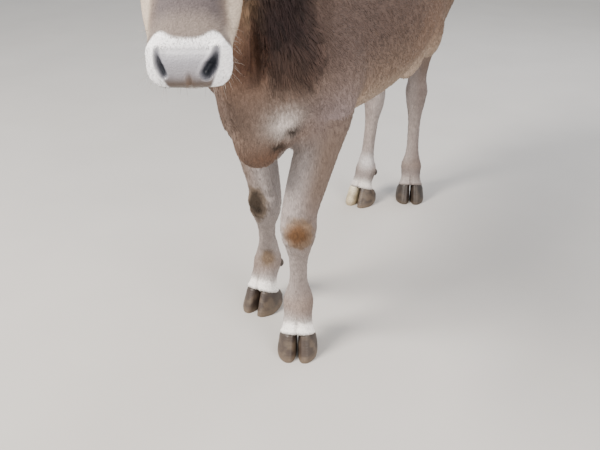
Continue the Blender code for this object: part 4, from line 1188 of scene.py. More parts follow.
# %% Markings of the head
def head_colour(points, colour):
    local = folded_head(points)
    along, up, aside = local.T
    wander = 0.004 * ripple(local, 0.11, 15)
    cheek = above(aside, 0.04, 0.07) * below(along, 0.16, 0.26)
    side_of_face = above(aside + wander, 0.034, 0.06)
    jaw = side_of_face * above(along, 0.1, 0.25) * below(along, 0.33, 0.355)
    cream = above(aside + wander, 0.045, 0.057) * above(along, 0.2, 0.3) * below(along, 0.345, 0.362)
    under = below(up, -0.11, -0.09)
    ring_edge = np.interp(up, (-0.07, -0.035, -0.012, 0.0, 0.012), (0.325, 0.35, 0.364, 0.371, 0.372))
    ring_edge = ring_edge - 0.012 * bump(aside, 0.036, 0.014) * above(up, -0.006, 0.004)
    ring = above(along, ring_edge - 0.003, ring_edge + 0.004)
    chin = above(along, 0.3, 0.33) * below(up, -0.066, -0.058)
    speckled = above(ripple(local, 0.004, 9), 0.4, 0.6) * bump(along, 0.38, 0.01) * (aside < 0.034)
    washes = [
        ("4d4544", 1),
        ("62595a", above(along, 0.2, 0.32)),
        ("857972", above(along, 0.322, 0.358)),
        ("4c3e38", 0.7 * below(along, 0.02, 0.11)),
        ("6a584f", 0.85 * cheek),
        ("a08b79", 0.8 * jaw),
        ("dccbb8", 0.9 * cream * above(up, -0.05, -0.02)),
        ("84736a", 0.7 * under),
        ("3f332f", 0.75 * spot(local, EYE, (0.034, 0.024, 0.03))),
        ("fcfcff", ring),
        ("dcd8d5", 0.9 * chin),
        ("77757c", 0.6 * speckled),
    ]
    share = head_share(points)
    return washed(colour, [(tone, share * amount) for tone, amount in washes])


# %% Nose pad and bare skin, with painted shade in the nostrils
def nose_pad(points):
    """1 on the bare wet pad of the nose, 0 elsewhere."""
    local = folded_head(points)
    along, up, aside = local.T
    half = np.interp(up, (-0.058, -0.045, -0.02, 0.0, 0.006), (0.022, 0.026, 0.036, 0.041, 0.036))
    ahead = above(along, 0.3775, 0.3905)
    return ahead * below(aside - half, -0.0025, 0.0025) * above(up, -0.0575, -0.0535) * on_head(points)


def bare_skin(points):
    """Hairless places: the pad of the nose, the nostrils, the lips and the edges of the lids."""
    local = folded_head(points)
    away, _, wide = nostril_at(points)
    nostril = below(away, wide + 0.001, wide + 0.004)
    off = np.abs(mouth_off(local))
    lip = below(off, 0.0022, 0.004) * above(local[:, 0], 0.28, 0.3)
    lid = below(eye_slit(local), 1.1, 1.22) * (from_eye(local) < 0.035)
    return np.maximum.reduce([nose_pad(points), nostril, lip, lid]) * on_head(points)


def bare_colour(points, colour):
    local = folded_head(points)
    up = local[:, 1]
    pad = nose_pad(points)
    middle = bump(local[:, 2], 0.0, 0.006) * below(up, -0.03, -0.014)
    away, _, wide = nostril_at(points)
    right = head_coordinates(points)[:, 2] < 0
    inside = below(away, 0.35 * wide, 1.35 * wide)
    off = np.abs(mouth_off(local))
    lip = below(off, 0.0015, 0.0034) * above(local[:, 0], 0.28, 0.3) * on_head(points)
    by_eye = from_eye(local) < 0.035
    washes = [
        ("9f9ea6", pad),
        ("d6d7dc", 0.7 * pad * above(up, -0.01, 0.004)),
        ("8e8b90", 0.7 * pad * below(up, -0.02, -0.006)),
        ("514339", 0.92 * pad * below(up, -0.037, -0.019)),
        # brown down the groove in the pad's middle: partly the pad's own tint, partly painted shade in the
        # groove
        ("5d4a3c", 0.6 * pad * middle),
        # the grey rim and the dark core of each nostril are painted shade in its hollow; the right core is
        # painted less dark
        ("6f7078", 0.9 * below(away, wide + 0.0005, wide + 0.005) * on_head(points)),
        ("2d3038", inside * np.where(right, 0.75, 1.0) * on_head(points)),
        ("4a403d", 0.9 * lip),
        ("2a211e", below(eye_slit(local), 1.08, 1.25) * by_eye),
    ]
    return washed(colour, washes)


# %% Paint the skin
BROWN_DARKER = 0.25  # taken off all hair but the white


def coat_colour(points):
    """All the markings, painted light and shade among them; the strong light asks for darker hair, but the
    white stays white.
    """
    colour = head_colour(points, leg_colour(points, body_colour(points)))
    white = above(colour.min(axis=1), 0.45, 0.8)[:, None]
    return np.clip(colour * (1 - BROWN_DARKER * (1 - white)), 0, 1)


def paint(mesh, colours, name="coat_colour"):
    attribute = mesh.color_attributes.new(name, "FLOAT_COLOR", "POINT")
    rgba = np.ones((len(mesh.vertices), 4), dtype=np.float32)
    rgba[:, :3] = colours
    attribute.data.foreach_set("color", rgba.ravel())


def mark(mesh, values, name):
    attribute = mesh.attributes.new(name, "FLOAT", "POINT")
    attribute.data.foreach_set("value", np.asarray(values, dtype=np.float32))


bare = bare_skin(calm_points)
paint(skin.data, bare_colour(calm_points, coat_colour(vertex_array(skin.data))))
mark(skin.data, bare, "bare")
mark(skin.data, leg_share(calm_points), "down_the_leg")
mark(skin.data, head_share(calm_points), "along_the_nose")
print("share of the skin that is bare:", round(float((bare > 0.5).mean()), 3))

# %% [markdown]
# ## Materials
# Every finish starts from what the real one is, and one grain of nodes gives it its changes of
# colour, gloss and height. One function adds a node with its settings and links.

# %% Add a node
def add_node(tree, kind, settings=(), links=()):
    node = tree.nodes.new(kind)
    for name, value in dict(settings).items():
        if isinstance(name, int) or name in node.inputs:
            node.inputs[name].default_value = value
        else:
            setattr(node, name, value)
    for socket, (source, output) in dict(links).items():
        tree.links.new(source.outputs[output], node.inputs[socket])
    return node


def new_material(name, settings):
    material = bpy.data.materials.new(name)
    material.use_nodes = True
    shader = material.node_tree.nodes["Principled BSDF"]
    for socket, value in settings.items():
        shader.inputs[socket].default_value = value
    return material, material.node_tree, shader


# %% Grain and colour
def grain(tree, scale, detail=2.0, turn=(0, 0, 0), stretch=(1, 1, 1)):
    """Soft specks, drawn out along one direction where it is laid hair or a tube of horn."""
    place = add_node(tree, "ShaderNodeTexCoord")
    settings = {"Rotation": turn, "Scale": stretch}
    turned = add_node(tree, "ShaderNodeMapping", settings, {"Vector": (place, "Object")})
    return add_node(tree, "ShaderNodeTexNoise", {"Scale": scale, "Detail": detail}, {"Vector": (turned, 0)})


def painted(tree, shader, shade):
    """The colour painted on the mesh, made lighter and darker by a node's first output."""
    tone = add_node(tree, "ShaderNodeAttribute", {"attribute_name": "coat_colour"})
    inputs = {0: (tone, "Color"), "Scale": (shade, 0)}
    colour = add_node(tree, "ShaderNodeVectorMath", {"operation": "SCALE"}, inputs)
    tree.links.new(colour.outputs[0], shader.inputs["Base Color"])


def grained(tree, shader, specks, tones, gloss, strength, depth):
    """Lets one grain change the painted colour, the roughness and the height."""
    shade, dull = (
        add_node(tree, "ShaderNodeMapRange", {"To Min": low, "To Max": high}, {"Value": (specks, "Fac")})
        for low, high in (tones, gloss)
    )
    painted(tree, shader, shade)
    tree.links.new(dull.outputs[0], shader.inputs["Roughness"])
    settings = {"Strength": strength, "Distance": depth}
    bumps = add_node(tree, "ShaderNodeBump", settings, {"Height": (specks, "Fac")})
    tree.links.new(bumps.outputs[0], shader.inputs["Normal"])


# %% [markdown]
# ## Hide and short fur
# Cow hide is skin under laid hairs about 0.05 mm thick. Skin has an IOR near 1.45, and under a
# coat it is dull, roughness 0.74. The nose pad is bare skin kept wet, roughness 0.30, with a net
# of beads 2 to 3 mm across. Single hairs are too fine to show, so the streaks are drawn one or
# two millimetres wide.

# %% Hide
ALONG_Y, ALONG_Z = (1.0, 0.14, 1.0), (1.0, 1.0, 0.14)


def hide_material():
    settings = {"IOR": 1.45, "Roughness": 0.72, "Specular IOR Level": 0.3}
    material, tree, shader = new_material("hide", settings)
    bare, on_leg, on_face = (
        add_node(tree, "ShaderNodeAttribute", {"attribute_name": name})
        for name in ("bare", "down_the_leg", "along_the_nose")
    )
    trunk_hair = grain(tree, 520.0, 3.0, (math.radians(29), 0, 0), ALONG_Y)
    leg_hair = grain(tree, 520.0, 3.0, stretch=ALONG_Z)
    face_hair = grain(tree, 520.0, 3.0, (math.radians(-33), 0, math.radians(-29)), ALONG_Y)
    place = add_node(tree, "ShaderNodeTexCoord")
    beads = add_node(tree, "ShaderNodeTexVoronoi", {"Scale": 380.0}, {"Vector": (place, "Object")})
    pick = {"data_type": "FLOAT"}
    body = add_node(tree, "ShaderNodeMix", pick, {0: (on_leg, "Fac"), 2: (trunk_hair, 0), 3: (leg_hair, 0)})
    hairs = add_node(tree, "ShaderNodeMix", pick, {0: (on_face, "Fac"), 2: (body, 0), 3: (face_hair, 0)})
    tones = {"From Min": 0.3, "From Max": 0.7, "To Min": 0.7, "To Max": 1.16}
    shade = add_node(tree, "ShaderNodeMapRange", tones, {"Value": (hairs, 0)})
    soft = add_node(tree, "ShaderNodeMix", {**pick, 3: 0.98}, {0: (bare, "Fac"), 2: (shade, 0)})
    painted(tree, shader, soft)
    wet = add_node(tree, "ShaderNodeMapRange", {"To Min": 0.74, "To Max": 0.3}, {"Value": (bare, "Fac")})
    tree.links.new(wet.outputs[0], shader.inputs["Roughness"])
    inputs = {0: (bare, "Fac"), 2: (hairs, 0), 3: (beads, "Distance")}
    height = add_node(tree, "ShaderNodeMix", pick, inputs)
    relief = {"Strength": 0.5, "Distance": 0.0012}
    bumps = add_node(tree, "ShaderNodeBump", relief, {"Height": (height, 0)})
    tree.links.new(bumps.outputs[0], shader.inputs["Normal"])
    return material


skin.data.materials.clear()
skin.data.materials.append(hide_material())
print("hide is ready")

# %% [markdown]
# ## Eyes
# An eye is a wet ball: a clear cornea over a brown iris, and in cattle a pupil that lies flat.
# The lids hide most of it, so rings of colour on one glossy ball do, without a separate iris.
# IOR 1.38 is that of the cornea.

# %% Eyeballs
def eyeball(word, side):
    bm = bmesh.new()
    bmesh.ops.create_uvsphere(bm, u_segments=96, v_segments=64, radius=EYE_RADIUS)
    mesh = mesh_of(bm, "eye")
    points = vertex_array(mesh)
    angle = np.degrees(np.arccos(np.clip(points[:, 2] / EYE_RADIUS, -1, 1)))
    spread = np.arctan2(points[:, 1], points[:, 0])
    fibres = 0.5 + 0.5 * np.sin(spread * 46 + 3 * np.sin(spread * 7))
    flat = np.hypot(points[:, 0] / (EYE_RADIUS * 0.52), points[:, 1] / (EYE_RADIUS * 0.27))
    washes = [
        ("2b1a11", below(angle, 52, 60)),
        ("3f2616", (0.35 + 0.65 * fibres) * bump(angle, 40, 10)),
        ("060608", below(flat, 0.9, 1.1) * (points[:, 2] > 0)),
    ]
    paint(mesh, washed(plain("8d8078", points), washes))
    cornea = 1 + 0.035 * np.exp(-((angle / 38) ** 4))
    set_vertices(mesh, points * cornea[:, None])
    facing = (LEFT * side * 0.9 + NOSE * 0.36 + BROW * 0.22).normalized()
    flatwise = NOSE.cross(facing).cross(facing).normalized() * -1
    turn = Matrix((flatwise, facing.cross(flatwise), facing)).transposed().to_4x4()
    mesh.transform(Matrix.Translation(head_point(EYE[0], EYE[1], EYE[2] * side)) @ turn)
    return new_object(f"eyeball_{word}", mesh)


def eye_material():
    settings = {"IOR": 1.38, "Roughness": 0.04, "Coat Weight": 0.2, "Coat Roughness": 0.02}
    material, tree, shader = new_material("wet_eye", settings)
    cloud = grain(tree, 300.0)
    grained(tree, shader, cloud, (0.8, 1.2), (0.03, 0.07), 0.04, 0.0002)
    return material


wet_eye = eye_material()
eyes = {word: eyeball(word, side) for word, side in SIDES.items()}
for eye in eyes.values():
    eye.data.materials.append(wet_eye)
    eye.data.shade_smooth()
print("eyeball across in mm:", 2000 * EYE_RADIUS)

# %% [markdown]
# ## Hooves
# Each foot ends in two claws of horn, which grows down from the hair line in rings about 5 mm
# apart and wears to a sharp lower edge. The claw is a stack of rounded outlines, each flat
# on the side that faces its neighbour, and small waves in the stack make the rings.

# %% Claws


def placed_on_foot(mesh, fetlock, heading):
    mesh.transform(Matrix.Translation((*fetlock, 0)) @ Matrix.Rotation(heading, 4, "Z"))
    return mesh


# A claw's outline at four heights: height, share of the full width, toe and heel ahead of the fetlock
CLAW_LEVELS = (
    (0.0, 1.0, 0.087, -0.01),
    (0.012, 1.0, 0.083, -0.013),
    (0.035, 0.93, 0.072, -0.014),
    (0.09, 0.8, 0.044, -0.011),
)
RING_STEP = 0.0056  # between the rings of the horn
CLEFT = 0.0018  # from the middle of the foot to a claw's inner wall


def fine_claw(name, lean, fetlock, heading):
    around, levels = 64, 44
    heights, *profiles = zip(*CLAW_LEVELS)
    plane, up = coronet_plane(fetlock, heading, 0.003)
    loops = []
    for level in range(levels):
        share = level / (levels - 1)
        height = 0.0015 + 0.0885 * share if level else 0.0
        width_share, toe, heel = (np.interp(height, heights, profile) for profile in profiles)
        ring = 0.0005 * math.sin(height * 2 * math.pi / RING_STEP) - (0.0012 if level == 0 else 0)
        half = (HOOF_WIDTH / 2 - CLEFT) * width_share / 2 + ring * 0.5
        reach = (toe - heel) / 2 + ring
        loop = []
        for k in range(around):
            angle = 2 * math.pi * k / around
            out, fore = math.cos(angle), math.sin(angle)
            width = half * math.copysign(abs(out) ** (0.5 if out < 0 else 0.85), out)
            narrowing = 1 - 0.34 * max(0.0, fore) ** 2
            curl = -0.16 * half * max(0.0, fore) ** 2
            across = lean * (CLEFT + half + width * narrowing + curl)
            ahead = (toe + heel) / 2 + reach * math.copysign(abs(fore) ** 0.8, fore)
            loop.append((across, -ahead, height))
        loops.append(loop)
    mesh = placed_on_foot(stacked(name, loops), fetlock, heading)
    points = vertex_array(mesh)
    over = (points - np.array(plane)) @ np.array(up)
    points -= np.outer(np.maximum(0, over), np.array(up))
    tuck = 0.075 * below(-over, 0.001, 0.013)
    middle = np.array(ahead_of(fetlock, heading, 0.027))
    points[:, :2] = middle + (points[:, :2] - middle) * (1 - tuck)[:, None]
    set_vertices(mesh, points)
    return new_object(name, mesh)


# %% Dewclaws
def fine_dewclaw(name, lean, fetlock, heading, height):
    rows = (
        (lean * 0.0165, 0.014, height - 0.01, 0.01, 0.01, 0.01),
        (lean * 0.018, 0.026, height - 0.017, 0.012, 0.013, 0.012),
        (lean * 0.0185, 0.034, height - 0.026, 0.0105, 0.011, 0.01),
        (lean * 0.0185, 0.038, height - 0.035, 0.005, 0.005, 0.005),
    )
    button = loft(name, rows, rings=18, around=28)
    placed_on_foot(button.data, fetlock, heading)
    return button


claws = {}
for name, (side, fetlock, heading, _) in LEGS.items():
    joint = FORE_FETLOCK if name.startswith("fore") else HIND_FETLOCK
    for lean, word in ((-side, "inner"), (side, "outer")):
        claws[f"{name}_claw_{word}"] = fine_claw(f"horn_{name}_{word}", lean, fetlock, heading)
        button = fine_dewclaw(f"button_{name}_{word}", lean, fetlock, heading, joint)
        claws[f"{name}_dewclaw_{word}"] = button
print("claws and dewclaws:", len(claws))

# %% [markdown]
# ## Hoof horn
# Hoof horn is keratin grown in tubes from the hair line, IOR 1.55, with a satin gloss. It is
# greyish brown, with darker rings about 5 mm apart and dried mud low down. One outer claw is
# yellowish white, as single claws often are in cattle.

# %% Claw colours and material
def claw_colour(name, points):
    height = points[:, 2]
    yellow = name == "hindleg_right_claw_outer"
    base, top, low = ("cbbd9c", "e6dcc4", "8f8066") if yellow else ("43372f", "352b26", "6a5b4c")
    rings = 0.5 + 0.5 * np.sin(height * 2 * math.pi / RING_STEP + 0.8 * ripple(points, 0.05, 4))
    mud = above(ripple(points, 0.05, 5) + 0.25 * ripple(points, 0.012, 6), -0.3, 0.9)
    washes = [
        (top, 0.8 * above(height, 0.03, 0.064)),
        (low, 0.8 * below(height, 0.004, 0.022)),
        ("2c2521", 0.3 * rings * above(height, 0.01, 0.02)),
        ("7a6a58", 0.4 * mud * (1 - 0.6 * above(height, 0.03, 0.07))),
    ]
    return washed(plain(base, points), washes) * (0.45 if name.startswith("hindleg_left") else 0.92)


def horn_material(name, roughness, tube_scale):
    material, tree, shader = new_material(name, {"IOR": 1.55, "Roughness": roughness})
    tubes = grain(tree, tube_scale, 4.0, stretch=(1.0, 1.0, 0.16))
    grained(tree, shader, tubes, (0.76, 1.2), (roughness - 0.1, roughness + 0.16), 0.4, 0.0006)
    return material


hoof_horn = horn_material("hoof_horn_satin", 0.48, 260.0)
for name, piece in claws.items():
    paint(piece.data, claw_colour(name, vertex_array(piece.data)))
    piece.data.materials.append(hoof_horn)
    piece.data.shade_smooth()
    piece.data.set_sharp_from_angle(angle=math.radians(50))
print("hoof horn painted on", len(claws), "pieces")

# %% [markdown]
# ## Horns
# A young animal's horns are short cones of keratin over bone, ringed at the base and smooth and
# dark at the tip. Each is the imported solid's bent cone, with fine rings.

# %% Horns
def fine_horn(word, side):
    out = LEFT * side
    base = head_point(-0.004, 0.04, side * 0.036)
    rows = []
    for k in range(40):
        a = k / 39
        bend = out * (HORN_LENGTH + 0.024) * a * (1 - 0.25 * a) + BROW * HORN_LENGTH * 0.7 * a * a
        ring = 0.0006 * math.sin(a * 52) * below(a, 0.45, 0.8) * above(a, 0.1, 0.2)
        radius = 0.0158 * (1 - a) ** 0.62 + 0.0016 + ring
        rows.append((*(base + bend + NOSE * 0.01 * a * a), radius, radius, radius))
    shape = loft(f"horn_cone_{word}", rows, side=NOSE, rings=60, around=40)
    points = vertex_array(shape.data)
    share = (points - np.array(base)) @ np.array(out * 0.8 + BROW * 0.6) / HORN_LENGTH
    washes = [("6d6256", 0.7 * below(share, 0.2, 0.45)), ("2f2925", 0.9 * above(share, 0.7, 1.0))]
    paint(shape.data, washed(plain("8f8371", points), washes))
    shape.data.shade_smooth()
    return shape


horn_sheath = horn_material("horn_sheath", 0.42, 300.0)
horns = {word: fine_horn(word, side) for word, side in SIDES.items()}
for piece in horns.values():
    piece.data.materials.append(horn_sheath)
print("horns:", len(horns), "each about", round(HORN_LENGTH * 1000), "mm out")

# %% [markdown]
# ## Ears
# An ear is a leaf of gristle rolled into a cup, thick at its root and thin at its rim. A grid of
# points follows the roll, and each point gives one place on the outer face and one on the inner.

# %% The ear's shape
def ear_axes(side):
    along = (LEFT * side * 0.955 - NOSE * 0.235 - BROW * 0.14).normalized()
    across = along.cross(NOSE).normalized()
    cup = across.cross(along).normalized()
    if cup.dot(NOSE) < 0:
        cup.negate()
    return along, across, cup


def ear_place(a, b, side):
    """A point on the ear's middle sheet, a from root to tip and b from edge to edge."""
    along, across, cup = ear_axes(side)
    half = EAR_WIDTH / 2 * (0.36 + 0.64 * math.sin(math.pi * min(1.0, a * 1.06) ** 0.8))
    if a > 0.5:
        half = EAR_WIDTH / 2 * max(0.05, math.cos((a - 0.5) * math.pi) ** 0.75)
    roll = 1.75 * (1 - a) ** 1.6 + 0.55
    radius = half / math.sin(min(roll, math.pi / 2))
    droop = -BROW * 0.02 * a * a + NOSE * 0.012 * math.sin(math.pi * a)
    spine = head_point(0.026, 0.02, side * 0.074) + along * (EAR_LENGTH * a) + droop
    return spine + across * (radius * math.sin(b * roll)) + cup * (radius * (1 - math.cos(b * roll)))


EAR_ROWS, EAR_COLUMNS = 46, 33


# %% Ear shells
def ear_shell(word, side):
    """The ear, and its inner face, outer face and facing at each point of the grid."""
    a = np.linspace(0, 1, EAR_ROWS)[:, None]
    b = np.linspace(-1, 1, EAR_COLUMNS)[None, :]
    grid = np.array([[ear_place(i, j, side) for j in b[0]] for i in a[:, 0]])
    facing = np.cross(np.gradient(grid, axis=0), np.gradient(grid, axis=1))
    facing /= np.linalg.norm(facing, axis=2)[:, :, None] + 1e-9
    if facing[12, EAR_COLUMNS // 2] @ np.array(ear_axes(side)[2]) < 0:
        facing *= -1
    wall = (0.0048 - 0.003 * a) * (1 - 0.8 * above(np.abs(b), 0.72, 1.0)) + 0.0004
    inner = (grid + facing * wall[:, :, None] / 2).reshape(-1, 3)
    outer = (grid - facing * wall[:, :, None] / 2).reshape(-1, 3)
    bm = bmesh.new()
    front = [bm.verts.new(p) for p in inner]
    back = [bm.verts.new(p) for p in outer]
    number = np.arange(len(inner)).reshape(EAR_ROWS, EAR_COLUMNS)
    for i in range(EAR_ROWS - 1):
        for j in range(EAR_COLUMNS - 1):
            corners = (number[i, j], number[i, j + 1], number[i + 1, j + 1], number[i + 1, j])
            bm.faces.new([front[c] for c in corners])
            bm.faces.new([back[c] for c in reversed(corners)])
    rim = [*number[0], *number[1:, -1], *number[-1, -2::-1], *number[-2:0:-1, 0]]
    for near, far in zip(rim, rim[1:] + rim[:1]):
        bm.faces.new((front[near], back[near], back[far], front[far]))
    shell = new_object(f"ear_shell_{word}", mesh_of(bm, "ear"))
    edge = np.broadcast_to(above(np.abs(b), 0.8, 1.0), number.shape).ravel()
    a = np.broadcast_to(a, number.shape).ravel()
    inside = [("5a4640", 0.9 * below(a, 0.05, 0.35)), ("4a3b36", 0.8 * edge)]
    outside = [("473833", 0.7 * above(a, 0.6, 1.0)), ("443530", 0.8 * edge)]
    colours = [washed(plain("a08f85", inner), inside), washed(plain("5f4f48", outer), outside)]
    paint(shell.data, np.vstack(colours))
    for name in ("bare", "down_the_leg", "along_the_nose"):
        mark(shell.data, np.zeros(2 * len(inner)), name)
    shell.data.shade_smooth()
    return shell, inner, outer, facing.reshape(-1, 3)


ears = {}
ear_sheets = {}
for word, side in SIDES.items():
    ears[word], *ear_sheets[word] = ear_shell(word, side)
    ears[word].data.materials.append(skin.data.materials[0])
print("ear length in mm:", round(EAR_LENGTH * 1000))

# %% [markdown]
# ## Where a tuft's colour lies on a flat chart
# When the model is baked, each tuft takes its colour from a small patch of a picture. The patch
# sits where the tuft's root lies on a chart: the trunk unrolled round its length, the head
# round the nose, and each leg round its bone.

# %% Charts
def chart_of(points):
    x, y, z = points.T
    turn = np.arctan2(x, z - 0.8) / (2 * math.pi) + 0.5
    chart = np.stack([0.01 + 0.47 * turn, 0.01 + 0.98 * (y + 0.85) / 1.6], axis=1)
    local = head_coordinates(points)
    turn = np.arctan2(local[:, 2], local[:, 1] + 0.045) / (2 * math.pi) + 0.5
    face = np.stack([0.51 + 0.23 * turn, 0.01 + 0.46 * (local[:, 0] + 0.1) / 0.55], axis=1)
    chart = np.where((head_share(points) > 0.5)[:, None], face, chart)
    on_leg = leg_share(points) > 0.5
    for k, name in enumerate(LEGS):
        across, ahead, height = foot_frame(name, points)
        near = on_leg & (np.hypot(across, ahead) < 0.13)
        turn = np.arctan2(across, ahead) / (2 * math.pi) + 0.5
        leg = np.stack([0.76 + 0.23 * turn, 0.01 + 0.245 * k + 0.23 * np.clip(height / 0.65, 0, 1)], axis=1)
        chart = np.where(near[:, None], leg, chart)
    return np.clip(chart, 0.002, 0.998)


# %% [markdown]
# ## Solid hair
# Hair curves can't be carried to other programs as a surface. So each tuft is a thin closed
# blade of mesh with a three-cornered section, drawn to a point. All blades of a piece are
# worked out at once with arrays of numbers.

# %% Blades
def blades(
    name, roots, normals, runs, lengths, widths, lifts, colours, material,
    stations=2, pull=0.0, charts=None, jitter=None,
):
    """One mesh of closed tapered blades; runs are their directions, lifts how far they stand up.

    With jitter, the blades' normals turn towards the skin's, so that the coat shades as one form.
    """
    count = len(roots)
    across = unit(np.cross(normals, runs))
    steps = np.linspace(0, 1, stations + 1)
    rows = []
    for step in steps:
        rise = lengths * lifts * (step - 0.7 * step * step) - 0.0008 * (1 - step)
        place = roots + runs * (lengths * step)[:, None] + normals * rise[:, None] + pull * (step * step)
        half = (widths * 0.5 * (1 - 0.3 * step - 0.55 * step**3))[:, None]
        rows.append([place - across * half, place + across * half, place + normals * half * 0.75])
    rows[-1] = [place]
    points = np.stack([corner for row in rows for corner in row], axis=1)
    each = points.shape[1]
    pattern = [(0, 2, 1)]
    for low in range(0, each - 4, 3):
        for i, j in ((0, 1), (1, 2), (2, 0)):
            pattern += [(low + i, low + j, low + 3 + j), (low + i, low + 3 + j, low + 3 + i)]
    pattern += [(each - 4 + i, each - 4 + j, each - 1) for i, j in ((0, 1), (1, 2), (2, 0))]
    faces = (np.array(pattern)[None] + (np.arange(count) * each)[:, None, None]).reshape(-1, 3)
    mesh = bpy.data.meshes.new(name)
    mesh.vertices.add(count * each)
    mesh.vertices.foreach_set("co", points.reshape(-1).astype(np.float32))
    mesh.loops.add(len(faces) * 3)
    mesh.loops.foreach_set("vertex_index", faces.reshape(-1).astype(np.int32))
    mesh.polygons.add(len(faces))
    mesh.polygons.foreach_set("loop_start", np.arange(0, len(faces) * 3, 3, dtype=np.int32))
    mesh.polygons.foreach_set("use_smooth", np.ones(len(faces), dtype=bool))
    mesh.update(calc_edges=True)
    corner_steps = np.repeat(steps, [3] * stations + [1])
    # dark hair is painted darker at the root and lighter at the tip: painted shade deep in the coat and
    # light on its surface; pale hair keeps one tone
    dark = below(colours.min(axis=1), 0.4, 0.75)
    shade = 1 + dark[:, None] * (0.42 * corner_steps - 0.3)[None, :]
    paint(mesh, np.clip((colours[:, None, :] * shade[:, :, None]).reshape(-1, 3), 0, 1))
    charts = chart_of(roots) if charts is None else charts
    aside = np.tile((-1.0, 1.0, 0.0), stations).tolist() + [0.0]
    offsets = 0.0015 * np.stack([aside, 2 * corner_steps - 1], axis=1)
    places = (charts[:, None, :] + offsets[None]).reshape(-1, 2)
    layer = mesh.uv_layers.new(name="OFBake")
    layer.data.foreach_set("uv", places[faces.reshape(-1)].reshape(-1).astype(np.float32))
    if jitter is not None:
        turned = (normals + jitter)[:, None, :] + 0.55 * across[:, None, :] * np.array(aside)[None, :, None]
        mesh.normals_split_custom_set_from_vertices(unit(turned).reshape(-1, 3).astype(np.float32))
    mesh.materials.append(material)
    return new_object(name, mesh)


def any_of(hex_colours, count, draw):
    """One of the colours for each blade."""
    return np.array([linear(c)[:3] for c in hex_colours])[draw.integers(0, len(hex_colours), count)]


# %% [markdown]
# ## Tail switch and forelock
# The tail ends in a tassel of long dark hair, and a tuft falls from the poll over the brow. Each
# is a few hundred long blades that start close together and drift apart in locks.

# %% Long hair
SWITCH_TOP = 0.641
GOLDEN_TURN = 2.39996  # spreads the locks evenly round the tail


def hair_material(name, roughness):
    settings = {"IOR": 1.55, "Roughness": roughness, "Specular IOR Level": 0.22}
    material, tree, shader = new_material(name, settings)
    gloss = (roughness - 0.1, roughness + 0.12)
    grained(tree, shader, grain(tree, 220.0), (0.8, 1.22), gloss, 0.25, 0.0006)
    return material


def long_hair(name, roots, outs, tips, width, seed, colours):
    draw = np.random.default_rng(seed)
    runs = tips - roots
    lengths = np.linalg.norm(runs, axis=1)
    runs /= lengths[:, None]
    widths = width * (0.7 + 0.6 * draw.random(len(roots)))
    lifts = 0.1 + 0.25 * draw.random(len(roots))
    return blades(name, roots, laid_on(outs, runs), runs, lengths, widths, lifts, colours, long_keratin, 7)


def level_rays(angles):
    return np.stack([np.cos(angles), np.sin(angles), 0 * angles], axis=1)


# %% Tail switch and forelock
def switch_hair():
    draw = np.random.default_rng(21)
    count, bundles = 620, 15
    bundle = draw.integers(0, bundles, count)
    bundle_angle = bundle * GOLDEN_TURN
    out = level_rays(bundle_angle + draw.normal(size=count) * 0.45)
    share = draw.random(count)
    core = 0.0115 * (1 - 0.35 * share)
    axis = np.stack([-0.022 - 0.008 * share, 0.639 + 0.003 * share, SWITCH_TOP - 0.112 * share], axis=1)
    spread = (0.01 + 0.024 * draw.random(bundles))[bundle] * (1 - 0.4 * share) + 0.004 * draw.random(count)
    end = SWITCH_TIP + (0.075 * draw.random(bundles))[bundle] * (1 - share) + 0.02 * draw.random(count)
    tips = np.stack([np.full(count, -0.036), np.full(count, 0.644), end], axis=1)
    tips += level_rays(bundle_angle) * spread[:, None] + draw.normal(size=(count, 3)) * (0.003, 0.003, 0.0)
    tone = any_of(("4d3d36", "5e4b41", "3a2c27"), count, draw)
    return long_hair("switch_strands", axis + out * core[:, None], out, tips, 0.003, 22, tone)


def forelock_hair():
    draw = np.random.default_rng(31)
    count = 300
    fan = draw.uniform(-1, 1, count)
    back = draw.uniform(-0.01, 0.03, count)
    fall = (0.03 + 0.05 * draw.random(count)) * (1 - 0.45 * np.abs(fan))
    roots = from_head(np.stack([back, 0.066 - 0.25 * np.maximum(0, back), 0.026 * fan], axis=1))
    tips = np.stack([back + fall, 0.076 - 0.1 * fall - 0.006 * np.abs(fan), 0.05 * fan], axis=1)
    tips = from_head(tips)
    tips += draw.normal(size=(count, 3)) * 0.003
    out = np.tile(np.array(BROW), (count, 1))
    tone = any_of(("6b5a52", "5d463a", "7a675c"), count, draw)
    return long_hair("forelock_strands", roots, out, tips, 0.0034, 32, tone)


long_keratin = hair_material("long_hair", 0.5)
switch = switch_hair()
forelock = forelock_hair()
print("strands:", len(switch.data.polygons) // 40, "in the switch")

# %% [markdown]
# ## The coat's lie
# Hair lies back and down over the body, down the neck and legs, and on the face away from the
# whorl on the forehead. One function gives that direction for any point of the skin.

